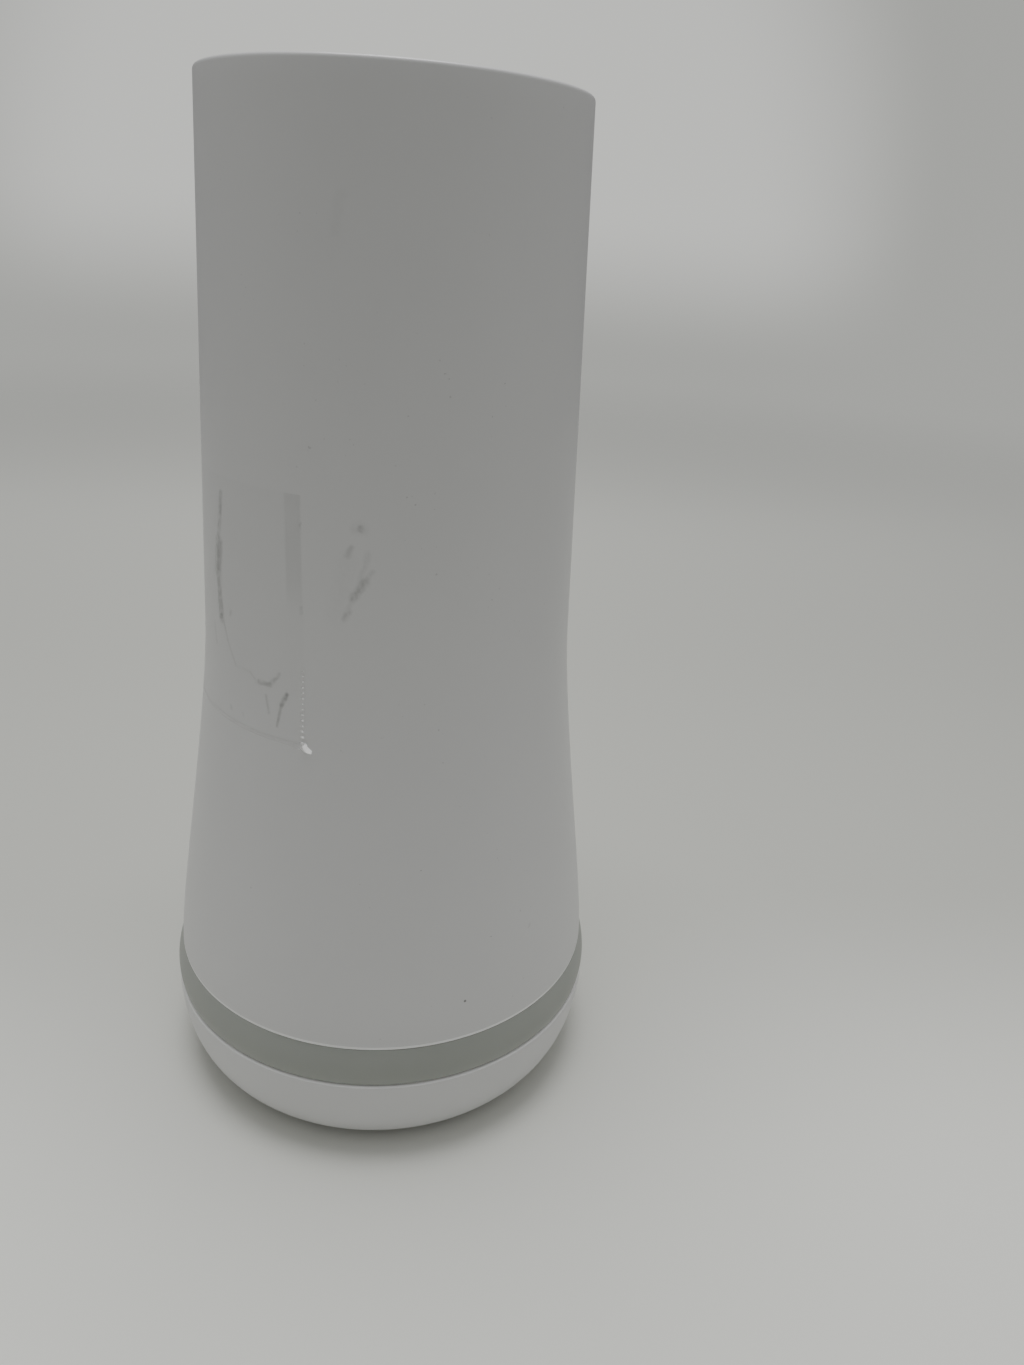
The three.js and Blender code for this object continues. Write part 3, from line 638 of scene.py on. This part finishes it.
# Creases and marks under the film: two ends as (angle, height), the width and how dark
FILM_MARKS = (
    ((-146.0, 138.5 * MM), (-148.0, 129.0 * MM), 1.0 * MM, 0.55),
    ((-148.0, 129.0 * MM), (-149.0, 123.0 * MM), 2.2 * MM, 0.75),
    ((-149.0, 123.0 * MM), (-147.0, 114.0 * MM), 1.5 * MM, 0.7),
    ((-146.5, 115.0 * MM), (-143.5, 110.2 * MM), 0.6 * MM, 0.22),
    ((-152.5, 112.0 * MM), (-151.0, 108.0 * MM), 0.6 * MM, 0.2),
    ((-141.5, 116.3 * MM), (-141.9, 115.6 * MM), 0.7 * MM, 0.3),
    ((-143.5, 110.2 * MM), (-139.3, 105.9 * MM), 0.7 * MM, 0.14),
    ((-139.3, 105.9 * MM), (-132.8, 105.9 * MM), 0.6 * MM, 0.1),
    ((-132.8, 105.9 * MM), (-129.9, 104.4 * MM), 0.6 * MM, 0.16),
    ((-129.0, 104.6 * MM), (-125.1, 104.8 * MM), 0.9 * MM, 0.5),
    ((-125.1, 104.8 * MM), (-121.8, 107.3 * MM), 0.75 * MM, 0.42),
    ((-119.2, 103.7 * MM), (-121.0, 101.3 * MM), 0.8 * MM, 0.75),
    ((-121.0, 101.3 * MM), (-122.2, 96.9 * MM), 0.6 * MM, 0.4),
    ((-126.4, 102.4 * MM), (-125.2, 99.0 * MM), 0.6 * MM, 0.26),
    ((-141.4, 96.9 * MM), (-141.0, 96.6 * MM), 0.7 * MM, 0.22),
    ((-135.4, 96.8 * MM), (-135.0, 96.4 * MM), 0.6 * MM, 0.12),
    ((-114.9, 136.7 * MM), (-115.1, 136.3 * MM), 0.7 * MM, 0.3),
    ((-114.6, 121.4 * MM), (-114.5, 120.4 * MM), 0.8 * MM, 0.16),
)


def film_finish():
    """Clear packing film: almost unseen, but darker where it creases, with painted highlights that glow
    white along its torn end and at its loose corner.
    """
    finish = Finish("clear_film")
    cloud = finish.noise(6 * MM, 3)
    fine = finish.noise(0.8 * MM, 2, finish.stretched(1, 1, 0.3))
    height = finish.split(finish.place, "Z")
    patchy = finish.ease(finish.noise(0.9 * MM, 3), 0.35, 0.6)
    broken = FILM_MARK_DEPTH * finish.marks(FILM_MARKS) * (0.4 + 0.6 * patchy)
    band_low = tower_point(TAPE_END - 3, TAPE_LOW + 28 * MM)
    band_high = tower_point(TAPE_END - 3.6, TAPE_LOW + TAPE_HEIGHT)
    fade = finish.ease(height, TAPE_LOW + 24 * MM, TAPE_LOW + 36 * MM) * (0.5 + 0.5 * cloud)
    band = 0.045 * fade * finish.ease(finish.streak(band_low, band_high, 2.3 * MM), 0.05, 0.4)
    end_low = tower_point(TAPE_END, TAPE_LOW)
    end_high = tower_point(TAPE_END, TAPE_LOW + 15 * MM)
    # Painted highlights: a beaded line up the lower part of the torn end and a spot at the loose corner,
    # made white, opaque and glowing.
    loose = finish.streak(end_low, end_high, 0.8 * MM)
    beads = finish.ease((height * (math.tau / TOOTH_PITCH)).sine(), 0, 0.8)
    curl_tip = tower_point(TAPE_END + CURL_TURN, TAPE_LOW - 0.8 * MM)
    curl_root = tower_point(TAPE_END + 1, TAPE_LOW + 0.3 * MM)
    corner = finish.streak(curl_tip, curl_root, 1.1 * MM)
    painted_glint = (0.7 * loose * beads).at_least(2 * corner).at_most(1)
    edge = 0.08 * finish.ease(height, TAPE_LOW + 1.1 * MM, TAPE_LOW + 0.5 * MM)
    # White where the painted highlights lie, light grey along the lower edge.
    pale = finish.ease(painted_glint, 0, 0.15).at_least(edge * 8)
    finish.shade({
        "Base Color": finish.tint(pale, grey(0.3), grey(0.98)),
        "Roughness": 0.22 + 0.1 * (cloud - 0.5) + 0.08 * (fine - 0.5),
        "Alpha": (0.006 + broken.at_least(band) + painted_glint + edge).at_most(1),
        # The painted highlights glow by emission, though the film is no lamp.
        "Emission Color": finish.tint(painted_glint * painted_glint, grey(0), grey(0.9)),
        "Emission Strength": 0.3,
        "Normal": finish.bump(cloud, 0.05 * MM, 0.6),
    })
    return finish.material


# ------------------------------------------------------------ outer casings


BAY_CORNER = 3 * MM
BEYOND = 0.1  # well outside the tower, on any side


def bay_block(out, low, high):
    """The rear bay's rounded block, grown by out on each side."""
    return block(
        (PANEL_LOW.x - out, PANEL_HIGH.x + out),
        (low, high),
        (PANEL_LOW.z - out, PANEL_HIGH.z + out),
        BAY_CORNER + out,
    )


def tower(finish):
    """The turned shell with its inner ledge, cut for the port bay, the ledge's vents and its screws."""
    edge = 0.8 * MM
    seam = RING_HIGH.z
    soft = 0.3 * MM
    gap = 0.3 * MM
    near_top = TOP_HEIGHT - 4 * MM
    lip = TOP_RADIUS - WALL
    ledge_top = TOP_HEIGHT - 6.5 * MM
    ledge_bottom = ledge_top - 2 * MM
    ledge_width = 9.5 * MM
    inside = [(radius - WALL, height) for radius, height in reversed(OUTLINE[1:-1:4])]
    outline = (
        rounded([
            (RIM_RADIUS - WALL, seam, 0),
            (RIM_RADIUS, seam, soft),
            (RIM_RADIUS, RIM_HEIGHT + soft, 0),
        ], 3)
        + OUTLINE[1:-1]
        + rounded([
            (tower_radius(near_top), near_top, 0),
            (TOP_RADIUS, TOP_HEIGHT, edge),
            (lip, TOP_HEIGHT, 0.5 * MM),
            (lip, ledge_top, 0),
            (lip - ledge_width, ledge_top, 0.3 * MM),
            (lip - ledge_width, ledge_bottom, 0),
            (tower_radius(ledge_bottom) - WALL, ledge_bottom, 0),
        ])
        + inside
    )
    shell = combine(revolve(outline), bay_block(gap, PANEL_LOW.y - gap, BEYOND))
    below = ledge_bottom - 1 * MM
    above = ledge_top + 1 * MM
    vent_depth = 3 * MM
    vent_width = 8 * MM
    screw_turns = (90, 210, 330)
    for turn in range(0, 360, 30):
        if turn not in screw_turns:
            vent = upright_block(lip - ledge_width / 2, vent_depth, vent_width, below, above)
            vent.transform(Matrix.Rotation(math.radians(turn), 4, "Z"))
            shell = combine(shell, vent)
    for name in numbered("top_screw", 3):
        hole = upright_rod(1.6 * MM, below, above)
        hole.transform(centre_of(name))
        shell = combine(shell, hole)
    piece("tower_casing", shell, finish, ["tower_shell"])


def upright_rod(radius, low, high):
    return revolve([(0, low), (radius, low), (radius, high), (0, high)], SMALL_ROUND)


def upright_block(radius, depth, width, low, high):
    """A box on the +X side at a radius, between two heights."""
    return block((radius - depth / 2, radius + depth / 2), (-width / 2, width / 2), (low, high))


def centre_of(name):
    """A move to the place of an upright node."""
    low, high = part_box(name)
    return Matrix.Translation(((low.x + high.x) / 2, (low.y + high.y) / 2, 0))


def cap(finish):
    """A shallowly dished disc on four pegs."""
    radius = CAP_HIGH.x
    low = CAP_HIGH.z - 2.4 * MM
    reach = radius - 3 * MM
    peg_radius = 2 * MM
    peg_tip = 1.7 * MM
    outline = rounded([
        (0, low, 0),
        (radius - 0.4 * MM, low, 0.3 * MM),
        (radius, low + 0.8 * MM, 0.3 * MM),
        (radius, CAP_HIGH.z, 0.8 * MM),
        (radius * 0.6, CAP_HIGH.z - 0.05 * MM, 6 * MM),
        (0, CAP_HIGH.z - 0.25 * MM, 0),
    ])
    shape = revolve(outline)
    for corner in range(4):
        angle = math.radians(45 + 90 * corner)
        tip = CAP_LOW.z + 0.5 * MM
        peg = revolve(
            [(0, CAP_LOW.z), (peg_tip, CAP_LOW.z), (peg_radius, tip), (peg_radius, low), (0, low)],
            SMALL_ROUND,
        )
        peg.transform(Matrix.Translation((reach * math.cos(angle), reach * math.sin(angle), 0)))
        shape = together(shape, peg)
    piece("top_cap_disc", shape, finish, ["top_cap"])


def light_ring(finish):
    """The diffuser between tower and base, with a slight bulge and a step into the base."""
    low = RING_LOW.z - 0.2 * MM
    high = RING_HIGH.z
    step = 0.4 * MM
    bulge = RING_HIGH.x + 0.1 * MM
    face = bezier(
        (BASE_HIGH.x - 0.25 * MM, low + step),
        (bulge, low + 2.4 * MM),
        (bulge, low + 5.2 * MM),
        (RIM_RADIUS, high),
        16,
    )
    inner = RIM_RADIUS - WALL
    outline = [(BASE_HIGH.x - 0.7 * MM, low), (BASE_HIGH.x - 0.4 * MM, low + step / 4)] + face
    outline += [(inner, high), (inner, low)]
    piece("light_ring_diffuser", revolve(outline), finish, ["light_ring"])


def base_corner(radius, under, bottom, top, steps):
    """The bowl's section, from its flat underside round to its side."""
    first = (under + 6.24 * MM, bottom)
    second = (radius, top - 11.7 * MM)
    return bezier((under, bottom), first, second, (radius, top), steps)


def base(finish):
    """The turned bowl with its screw posts, cut for the sunk screws and the intake slots."""
    radius = BASE_HIGH.x
    under = radius - 10.4 * MM
    floor = BASE_LOW.z + WALL
    shelf = RIM_RADIUS - WALL - 3.6 * MM
    edge = rounded([
        (radius, BASE_HIGH.z - 1.5 * MM, 0),
        (radius, BASE_HIGH.z, 0.7 * MM),
        (shelf, BASE_HIGH.z, 0.2 * MM),
        (shelf, BASE_HIGH.z - 1.6 * MM, 0),
    ])
    inside = base_corner(radius - WALL, under - 1 * MM, floor, BASE_HIGH.z - 4 * MM, 10)
    outline = [(0, BASE_LOW.z)] + base_corner(radius, under, BASE_LOW.z, BASE_HIGH.z, 28)[:-1]
    outline += edge + inside[::-1] + [(0, floor)]
    shape = revolve(outline)
    screws = numbered("base_screw", 3)
    post_radius = 3.4 * MM
    post_top = 8.7 * MM
    for name in screws:
        post = upright_rod(post_radius, floor - 0.5 * MM, post_top)
        post.transform(centre_of(name))
        shape = combine(shape, post, "UNION")
    seat = 2.8 * MM
    head = 3.1 * MM
    shank = 1.6 * MM
    for name in screws:
        sink = revolve(
            [(0, -0.01), (head, -0.01), (head, seat), (shank, seat), (shank, 0.01), (0, 0.01)],
            SMALL_ROUND,
        )
        sink.transform(centre_of(name))
        shape = combine(shape, sink)
    slot_groups = (30, 150, 270)
    slot_offsets = (-26, -13, 0, 13, 26)
    for middle in slot_groups:
        for offset in slot_offsets:
            slot = vent_slot()
            slot.transform(Matrix.Rotation(math.radians(middle + offset), 4, "Z"))
            shape = combine(shape, slot)
    piece("base_casing", shape, finish, ["base_bowl"])


def vent_slot():
    """A round-ended slot through the underside, along +X at the circle of the screws."""
    near = 21 * MM
    far = 27 * MM
    half = 1 * MM
    shape = block((near, far), (-0.01, 0.01), (-half, half), 0.99 * MM)
    shape.transform(Matrix.Rotation(math.pi / 2, 4, "X"))
    return shape


def foot(finish):
    """A rubber ring that narrows downwards, with grooves in its underside."""
    outer = FOOT_HIGH.x
    inner = outer - 6 * MM
    high = FOOT_HIGH.z
    slant = 0.4 * MM
    deep = 0.25 * MM
    outline = [(inner, high), (inner + slant, 0)]
    grooves = 4
    pitch = (outer - inner - 2 * slant) / (grooves + 1)
    for groove in range(1, grooves + 1):
        middle = inner + slant + groove * pitch
        outline += [(middle - deep, 0), (middle, deep), (middle + deep, 0)]
    outline += [(outer - slant, 0), (outer, high)]
    piece("rubber_foot", revolve(outline), finish, ["foot_ring"])


def base_screws(finish):
    """Pan-head screws in the underside, each with a cross recess."""
    head_radius = 2.8 * MM
    thread_radius = 1.3 * MM
    reach = (-1.6 * MM, 1.6 * MM)
    width = (-0.3 * MM, 0.3 * MM)
    for name in numbered("base_screw", 3):
        low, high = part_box(name)
        head = low.z + 1.3 * MM
        outline = rounded([
            (0, low.z, 0),
            (head_radius, low.z, 0.6 * MM),
            (head_radius, head, 0.1 * MM),
            (thread_radius, head, 0),
            (thread_radius, high.z - 1.5 * MM, 0),
            (0, high.z, 0),
        ])
        recess = (-0.01, low.z + 0.8 * MM)
        cross = combine(block(reach, width, recess), block(width, reach, recess), "UNION")
        shape = combine(revolve(outline, SMALL_ROUND), cross)
        shape.transform(centre_of(name))
        piece(name + "_cross_head", shape, finish, [name])


# --------------------------------------------------------------- port panel

PANEL_FACE = 28 * MM
PANEL_SPAN = (0.02, 0.04)  # distances back from the middle that hold the whole thickness of the panel
BAY_WALL = 2 * MM
JACKS = ("wan_jack", "lan_jack_1", "lan_jack_2")
MOUTH_WIDTH = 11.8 * MM
MOUTH_HEIGHT = 7.6 * MM
MOUTH_DEPTH = 13 * MM
LATCH_WIDTH = 6.2 * MM
LATCH_HEIGHT = 2.6 * MM
PIN_COUNT = 8
PIN_PITCH = 1.02 * MM
LAMP_OFFSET = 4.6 * MM
LAMP_HALF_WIDTH = 1.3 * MM


def middle_of(name):
    low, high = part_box(name)
    return (low.x + high.x) / 2, (low.z + high.z) / 2


def window(name):
    """The opening in the panel round a jack."""
    out = 0.3 * MM
    low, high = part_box(name)
    return block(
        (low.x - out, high.x + out),
        (PANEL_LOW.y - 0.01, PANEL_FACE + 0.005),
        (low.z - out, high.z + out),
        0.6 * MM,
    )


def round_hole(name, radius):
    x, z = middle_of(name)
    return lying(upright_rod(radius, *PANEL_SPAN), x, z)


def port_bay(finish):
    outside = bay_block(0, PANEL_LOW.y, BEYOND)
    inside = block(
        (PANEL_LOW.x + BAY_WALL, PANEL_HIGH.x - BAY_WALL),
        (PANEL_FACE, BEYOND + 0.01),
        (PANEL_LOW.z + BAY_WALL, PANEL_HIGH.z - BAY_WALL),
        1.6 * MM,
    )
    flush = 0.12 * MM
    tower_body = [(0, RIM_HEIGHT)]
    tower_body += [(radius - flush, height) for radius, height in OUTLINE]
    tower_body += [(0, TOP_HEIGHT)]
    shape = combine(combine(outside, inside), revolve(tower_body), "INTERSECT")
    openings = [window(name) for name in JACKS + ("power_jack",)]
    openings.append(round_hole("power_button", 3.9 * MM))
    openings.append(round_hole("wps_button", 3.1 * MM))
    openings.append(round_hole("reset_plunger", 1.2 * MM))
    for opening in openings:
        shape = combine(shape, opening)
    piece("port_bay", shape, finish, ["port_panel"])


def network_jack(name, body_finish, gold, lamp):
    """A socket with its latch notch, its eight sprung contacts and the two lamps below its mouth."""
    low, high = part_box(name)
    x, row = middle_of(name)
    front = high.y
    mouth_low = row - MOUTH_HEIGHT / 2 + LATCH_HEIGHT / 2
    mouth_high = mouth_low + MOUTH_HEIGHT
    body = block((low.x, high.x), (low.y, front), (low.z, high.z), 0.4 * MM)
    mouth = block(
        (x - MOUTH_WIDTH / 2, x + MOUTH_WIDTH / 2),
        (front - MOUTH_DEPTH, front + 0.01),
        (mouth_low, mouth_high),
        0.3 * MM,
    )
    latch = block(
        (x - LATCH_WIDTH / 2, x + LATCH_WIDTH / 2),
        (front - MOUTH_DEPTH, front + 0.01),
        (mouth_low - LATCH_HEIGHT, mouth_low + 1 * MM),
        0.3 * MM,
    )
    shape = soften(combine(body, combine(mouth, latch, "UNION")), 0.2 * MM)
    piece(name + "_socket", shape, body_finish, [name])
    pins = []
    for index in range(PIN_COUNT):
        across = (index - (PIN_COUNT - 1) / 2) * PIN_PITCH
        pins.append(contact_pin(x + across, front, mouth_high))
    piece(name + "_contacts", together(*pins), gold)
    for side in (-1, 1):
        middle = x + side * LAMP_OFFSET
        lens = block(
            (middle - LAMP_HALF_WIDTH, middle + LAMP_HALF_WIDTH),
            (front - 0.6 * MM, front + 0.12 * MM),
            (low.z + 0.7 * MM, low.z + 2.2 * MM),
            0.4 * MM,
        )
        label = "left" if side < 0 else "right"
        piece(f"{name}_lamp_{label}", soften(lens, 0.12 * MM), lamp)


def contact_pin(x, front, roof):
    """A sprung contact that comes forward along the roof and folds back down into the mouth."""
    half = 0.22 * MM
    thick = 0.25 * MM
    line = [
        (front - 12.6 * MM, roof - 0.3 * MM),
        (front - 3.2 * MM, roof - 0.3 * MM),
        (front - 2.6 * MM, roof - 0.9 * MM),
        (front - 3.4 * MM, roof - 1.3 * MM),
        (front - 11.5 * MM, roof - 4.2 * MM),
    ]
    shape = bmesh.new()
    rows = []
    for y, z in line:
        rows.append([
            shape.verts.new((x + across, y, z + up))
            for across, up in ((-half, 0), (half, 0), (half, -thick), (-half, -thick))
        ])
    for row, after in zip(rows, rows[1:]):
        for index in range(4):
            other = (index + 1) % 4
            shape.faces.new((row[index], row[other], after[other], after[index]))
    shape.faces.new(rows[0])
    shape.faces.new(reversed(rows[-1]))
    bmesh.ops.recalc_face_normals(shape, faces=shape.faces)
    return shape


def power_socket(body_finish, metal):
    """A round socket with a chamfered mouth and the pin in the middle of it."""
    bore = 3.1 * MM
    mouth = 3.7 * MM
    pin_radius = 1 * MM
    low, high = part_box("power_jack")
    deep = high.y - 12 * MM
    clear = high.y + 0.1 * MM
    pin_root = high.y - 12.5 * MM
    pin_tip = high.y - 2 * MM
    x, z = middle_of("power_jack")
    body = block((low.x, high.x), (low.y, high.y), (low.z, high.z), 0.5 * MM)
    hole = revolve(
        rounded([
            (0, deep, 0),
            (bore, deep, 0),
            (bore, high.y - 0.5 * MM, 0),
            (mouth, clear, 0),
            (0, clear, 0),
        ]),
        SMALL_ROUND,
    )
    shape = soften(combine(body, lying(hole, x, z)), 0.15 * MM, 50)
    piece("power_socket", shape, body_finish, ["power_jack"])
    pin = revolve(
        rounded([
            (0, pin_root, 0),
            (pin_radius, pin_root, 0),
            (pin_radius, pin_tip, 0.7 * MM),
            (0, pin_tip, 0),
        ]),
        SMALL_ROUND,
    )
    piece("power_socket_pin", lying(pin, x, z), metal)


def push_button(name, body, finish, radius):
    """A round cap with a soft edge and a shallow dish, its collar and its stem."""
    low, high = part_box(name)
    x, z = middle_of(name)
    collar = (high.x - low.x) / 2
    back = PANEL_LOW.y - 0.4 * MM
    collar_foot = back - 1.6 * MM
    stem = 1.6 * MM
    outline = rounded([
        (0, low.y, 0),
        (stem, low.y, 0.2 * MM),
        (stem, collar_foot, 0),
        (collar, collar_foot, 0.2 * MM),
        (collar, back, 0.2 * MM),
        (radius, back, 0),
        (radius, high.y, 0.5 * MM),
        (radius * 0.55, high.y - 0.25 * MM, 1 * MM),
        (0, high.y - 0.45 * MM, 0),
    ])
    piece(name + "_cap", lying(revolve(outline, SMALL_ROUND * 2), x, z), finish, [name], body)


def port_marks(finish):
    """Printed lines above the jacks: one over the first, one that groups the other two."""
    inset = 1.5 * MM
    wan_low, wan_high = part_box("wan_jack")
    lan_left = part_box("lan_jack_1")[0].x
    lan_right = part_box("lan_jack_2")[1].x
    level = wan_high.z + 1.5 * MM
    shapes = []
    for left, right in ((wan_low.x, wan_high.x), (lan_left, lan_right)):
        shapes.append(printed_line(left + inset, right - inset, level))
    piece("port_marks", together(*shapes), finish)


def printed_line(left, right, level):
    skin = 0.03 * MM
    half = 0.2 * MM
    depth = (PANEL_FACE - skin, PANEL_FACE + skin)
    return block((left, right), depth, (level - half, level + half), half * 0.9)


# --------------------------------------------------------------------- tape


def packing_tape(finish):
    """A strip of clear film round the tower, cut on saw teeth at the near end."""
    columns = 120
    rows = 2 * round(TAPE_HEIGHT / TOOTH_PITCH)
    skin = 0.03 * MM
    film = 0.05 * MM
    shape = bmesh.new()
    layers = []
    for out in (skin, skin + film):
        grid = []
        for row in range(rows + 1):
            up = row / rows
            line = []
            for column in range(columns + 1):
                along = column / columns
                curl = along**40 * hump(0, up / CURL_HEIGHT)
                angle = TAPE_START + (TAPE_END - TAPE_START - END_LEAN * up) * along + CURL_TURN * curl
                if column == columns:
                    angle += TOOTH_DEPTH * (row % 2)
                height = TAPE_LOW + TAPE_HEIGHT * up - CURL_DROP * curl
                line.append(shape.verts.new(tower_point(angle, height, out + lift(angle, height))))
            grid.append(line)
        layers.append(grid)
    inner, outer = layers
    for row in range(rows):
        for column in range(columns):
            quad = [(row, column), (row, column + 1), (row + 1, column + 1), (row + 1, column)]
            shape.faces.new([outer[r][c] for r, c in quad])
            shape.faces.new([inner[r][c] for r, c in reversed(quad)])
    border = [(0, c) for c in range(columns)] + [(r, columns) for r in range(rows)]
    border += [(rows, c) for c in range(columns, 0, -1)] + [(r, 0) for r in range(rows, 0, -1)]
    for (r0, c0), (r1, c1) in zip(border, border[1:] + border[:1]):
        shape.faces.new((inner[r0][c0], inner[r1][c1], outer[r1][c1], outer[r0][c0]))
    bmesh.ops.recalc_face_normals(shape, faces=shape.faces)
    piece("clear_tape", shape, finish, angle=60)


def hump(x, y):
    """1 in the middle, falling smoothly to nothing about two units away from it."""
    return math.exp(-(x**2) - y**2)


def lift(angle, height):
    """How far the film stands off the tower: along its crease and at its loose lower corner."""
    up = (height - TAPE_LOW) / TAPE_HEIGHT
    crease = hump((angle - CREASE_ANGLE) / CREASE_WIDTH, (up - CREASE_HEIGHT) / CREASE_LENGTH)
    corner = hump((angle - TAPE_END) / CORNER_WIDTH, up / CURL_HEIGHT)
    return CREASE_LIFT * crease + CORNER_LIFT * corner


# ------------------------------------------------------------ CAD nodes kept


def dress(names, material):
    for name in names:
        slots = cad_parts[name].data.materials
        slots.clear()
        slots.append(material)


# ---------------------------------------------------------------- the stage


FLOOR_RADIUS = 1.4
# Painted light and shade by depth: lighter in front, a painted shadow from round the tower backwards,
# lighter again far back.
FLOOR_FRONT = (0.86, 0.868, 0.815, 1)
FLOOR_PAINTED_SHADOW = (0.59, 0.597, 0.553, 1)
FLOOR_BACK = (0.72, 0.728, 0.68, 1)
PAINTED_SHADOW_REACH = (-0.06, 0.06)  # how far back the middle tone begins and is full
BACK_TONE = (0.2, 0.55)  # the same for the back tone


def add_floor():
    """A pale round floor that fades into the background, with light and shade painted into its colour by
    depth.
    """
    shape = bmesh.new()
    bmesh.ops.create_circle(shape, cap_ends=True, segments=96, radius=FLOOR_RADIUS)
    floor = raw_object("floor", shape)
    finish = Finish("floor_white")
    flat = finish.vector("MULTIPLY", finish.place, (1, 1, 0))
    away = finish.vector("LENGTH", flat, (0, 0, 0), "Value")
    depth = finish.split(finish.place, "Y")
    # Painted shadow: the floor darkens from just in front of the tower backwards.
    painted_shadow = finish.ease(depth + 0.02 * finish.noise(0.3, 2), *PAINTED_SHADOW_REACH)
    back = finish.ease(depth, *BACK_TONE)
    finish.shade({
        "Base Color": finish.tint(back, finish.tint(painted_shadow, FLOOR_FRONT, FLOOR_PAINTED_SHADOW), FLOOR_BACK),
        "Roughness": 0.7,
        "Alpha": finish.ease(away, FLOOR_RADIUS, FLOOR_RADIUS / 3),
    })
    floor.data.materials.append(finish.material)


# The wall behind: its plain colour, and the lighter patch on it straight ahead at eye level
BACKGROUND = (0.445, 0.45, 0.426, 1)
WALL_GLOW = (0.71, 0.715, 0.685, 1)
GLOW_SIDE = Vector((0.03, 1.0, 0.0))
GLOW_EDGE = (0.905, 0.965)  # cosines of the angles where it begins and where it is full
GLOW_FOOT = (-0.1, 0.03)  # slopes of the view: no patch below the first, all of it above the second

# The room's light: colour from each side, and how dim it is towards the front
DIM_FRONT = Vector((-0.14, -0.99, 0.0))
ROOM_DIM = grey(0.02)
ROOM_SIDE = grey(0.38)
ROOM_TOP = grey(0.9)
ROOM_STRENGTH = 0.6


def add_world():
    """Soft light from above and from the sides, dim towards the front, and the wall that is seen."""
    world = bpy.data.worlds.new("studio")
    bpy.context.scene.world = world
    world.use_nodes = True
    graph = Graph(world.node_tree)
    for node in list(world.node_tree.nodes):
        world.node_tree.nodes.remove(node)
    direction = graph.node("ShaderNodeTexCoord", None, None, "Generated")
    front = graph.vector("DOT_PRODUCT", direction, DIM_FRONT, "Value")
    above = graph.split(direction, "Z")
    sides = graph.tint(graph.ease(front, 0.1, 0.9), ROOM_SIDE, ROOM_DIM)
    room = graph.tint(graph.ease(above, 0.25, 0.85), sides, ROOM_TOP)
    lit = graph.node("ShaderNodeBackground", None, {"Color": room, "Strength": ROOM_STRENGTH})
    glow = graph.ease(graph.vector("DOT_PRODUCT", direction, GLOW_SIDE, "Value"), *GLOW_EDGE)
    wall = graph.tint(glow * graph.ease(above, *GLOW_FOOT), BACKGROUND, WALL_GLOW)
    seen = graph.node("ShaderNodeBackground", None, {"Color": wall, "Strength": 1.0})
    camera_ray = graph.node("ShaderNodeLightPath")
    mixed = graph.node("ShaderNodeMixShader", None, {0: camera_ray, 1: lit, 2: seen})
    graph.node("ShaderNodeOutputWorld", None, {"Surface": mixed})


def add_light(name, place, target, size, power):
    data = bpy.data.lights.new(name, "AREA")
    data.shape = "DISK"
    data.size = size
    data.energy = power
    light = bpy.data.objects.new(name, data)
    light.location = place
    light.rotation_euler = (Vector(target) - Vector(place)).to_track_quat("-Z", "Y").to_euler()
    bpy.context.scene.collection.objects.link(light)


# ------------------------------------------------------------------- making

white = tower_finish()
cap_white = moulded("cap_white", SHELL_WHITE, 0.4).material
base_white = base_finish()
panel_grey = moulded("panel_grey", grey(0.05), 0.5, 0.04 * MM).material
port_black = moulded("port_black", grey(0.012), 0.38).material
button_black = moulded("button_black", grey(0.02), 0.34).material
carrier_black = moulded("carrier_black", grey(0.03), 0.5).material
part_white = moulded("part_white", grey(0.78), 0.4).material
diffuser = diffuser_finish()
rubber = rubber_finish()
steel = metal_finish("zinc_steel", (0.5, 0.51, 0.52, 1), 0.34)
tin = metal_finish("tin_plate", (0.66, 0.67, 0.68, 1), 0.26)
aluminium = metal_finish("extruded_aluminium", (0.6, 0.61, 0.63, 1), 0.36)
gold = metal_finish("gold_plate", (0.85, 0.62, 0.26, 1), 0.24)
solder_mask = board_finish()

tower(white)
cap(cap_white)
light_ring(diffuser)
base(base_white)
foot(rubber)
base_screws(steel)
port_bay(panel_grey)
for jack in JACKS:
    network_jack(jack, port_black, gold, diffuser)
power_socket(port_black, tin)
push_button("power_button", "power_push", button_black, 3.6 * MM)
push_button("wps_button", "wps_push", button_black, 2.8 * MM)
port_marks(part_white)
packing_tape(film_finish())

dress(["reset_plunger", "power_switch", "wps_switch", "reset_switch"], button_black)
dress(["carrier"], carrier_black)
dress(["main_board"] + numbered("antenna", 4), solder_mask)
dress(["heat_sink", "heat_spreader"], aluminium)
dress(["processor_can"] + numbered("radio_can", 2), tin)
dress(["processor_pad"] + numbered("radio_pad", 2), pad_finish())
dress(numbered("antenna_lead", 4), port_black)
dress(numbered("antenna_socket", 4), gold)
dress(["led_board", "reflector_ring", "led_cable"] + numbered("led", 6), part_white)
dress(["ballast_plate"] + numbered("top_screw", 3) + numbered("board_screw", 4), steel)
dress(["rating_label"], label_finish())

add_floor()
add_world()
add_light("overhead", place=(-0.02, 0.06, 0.85), target=(0, -0.05, 0), size=0.5, power=4.1)
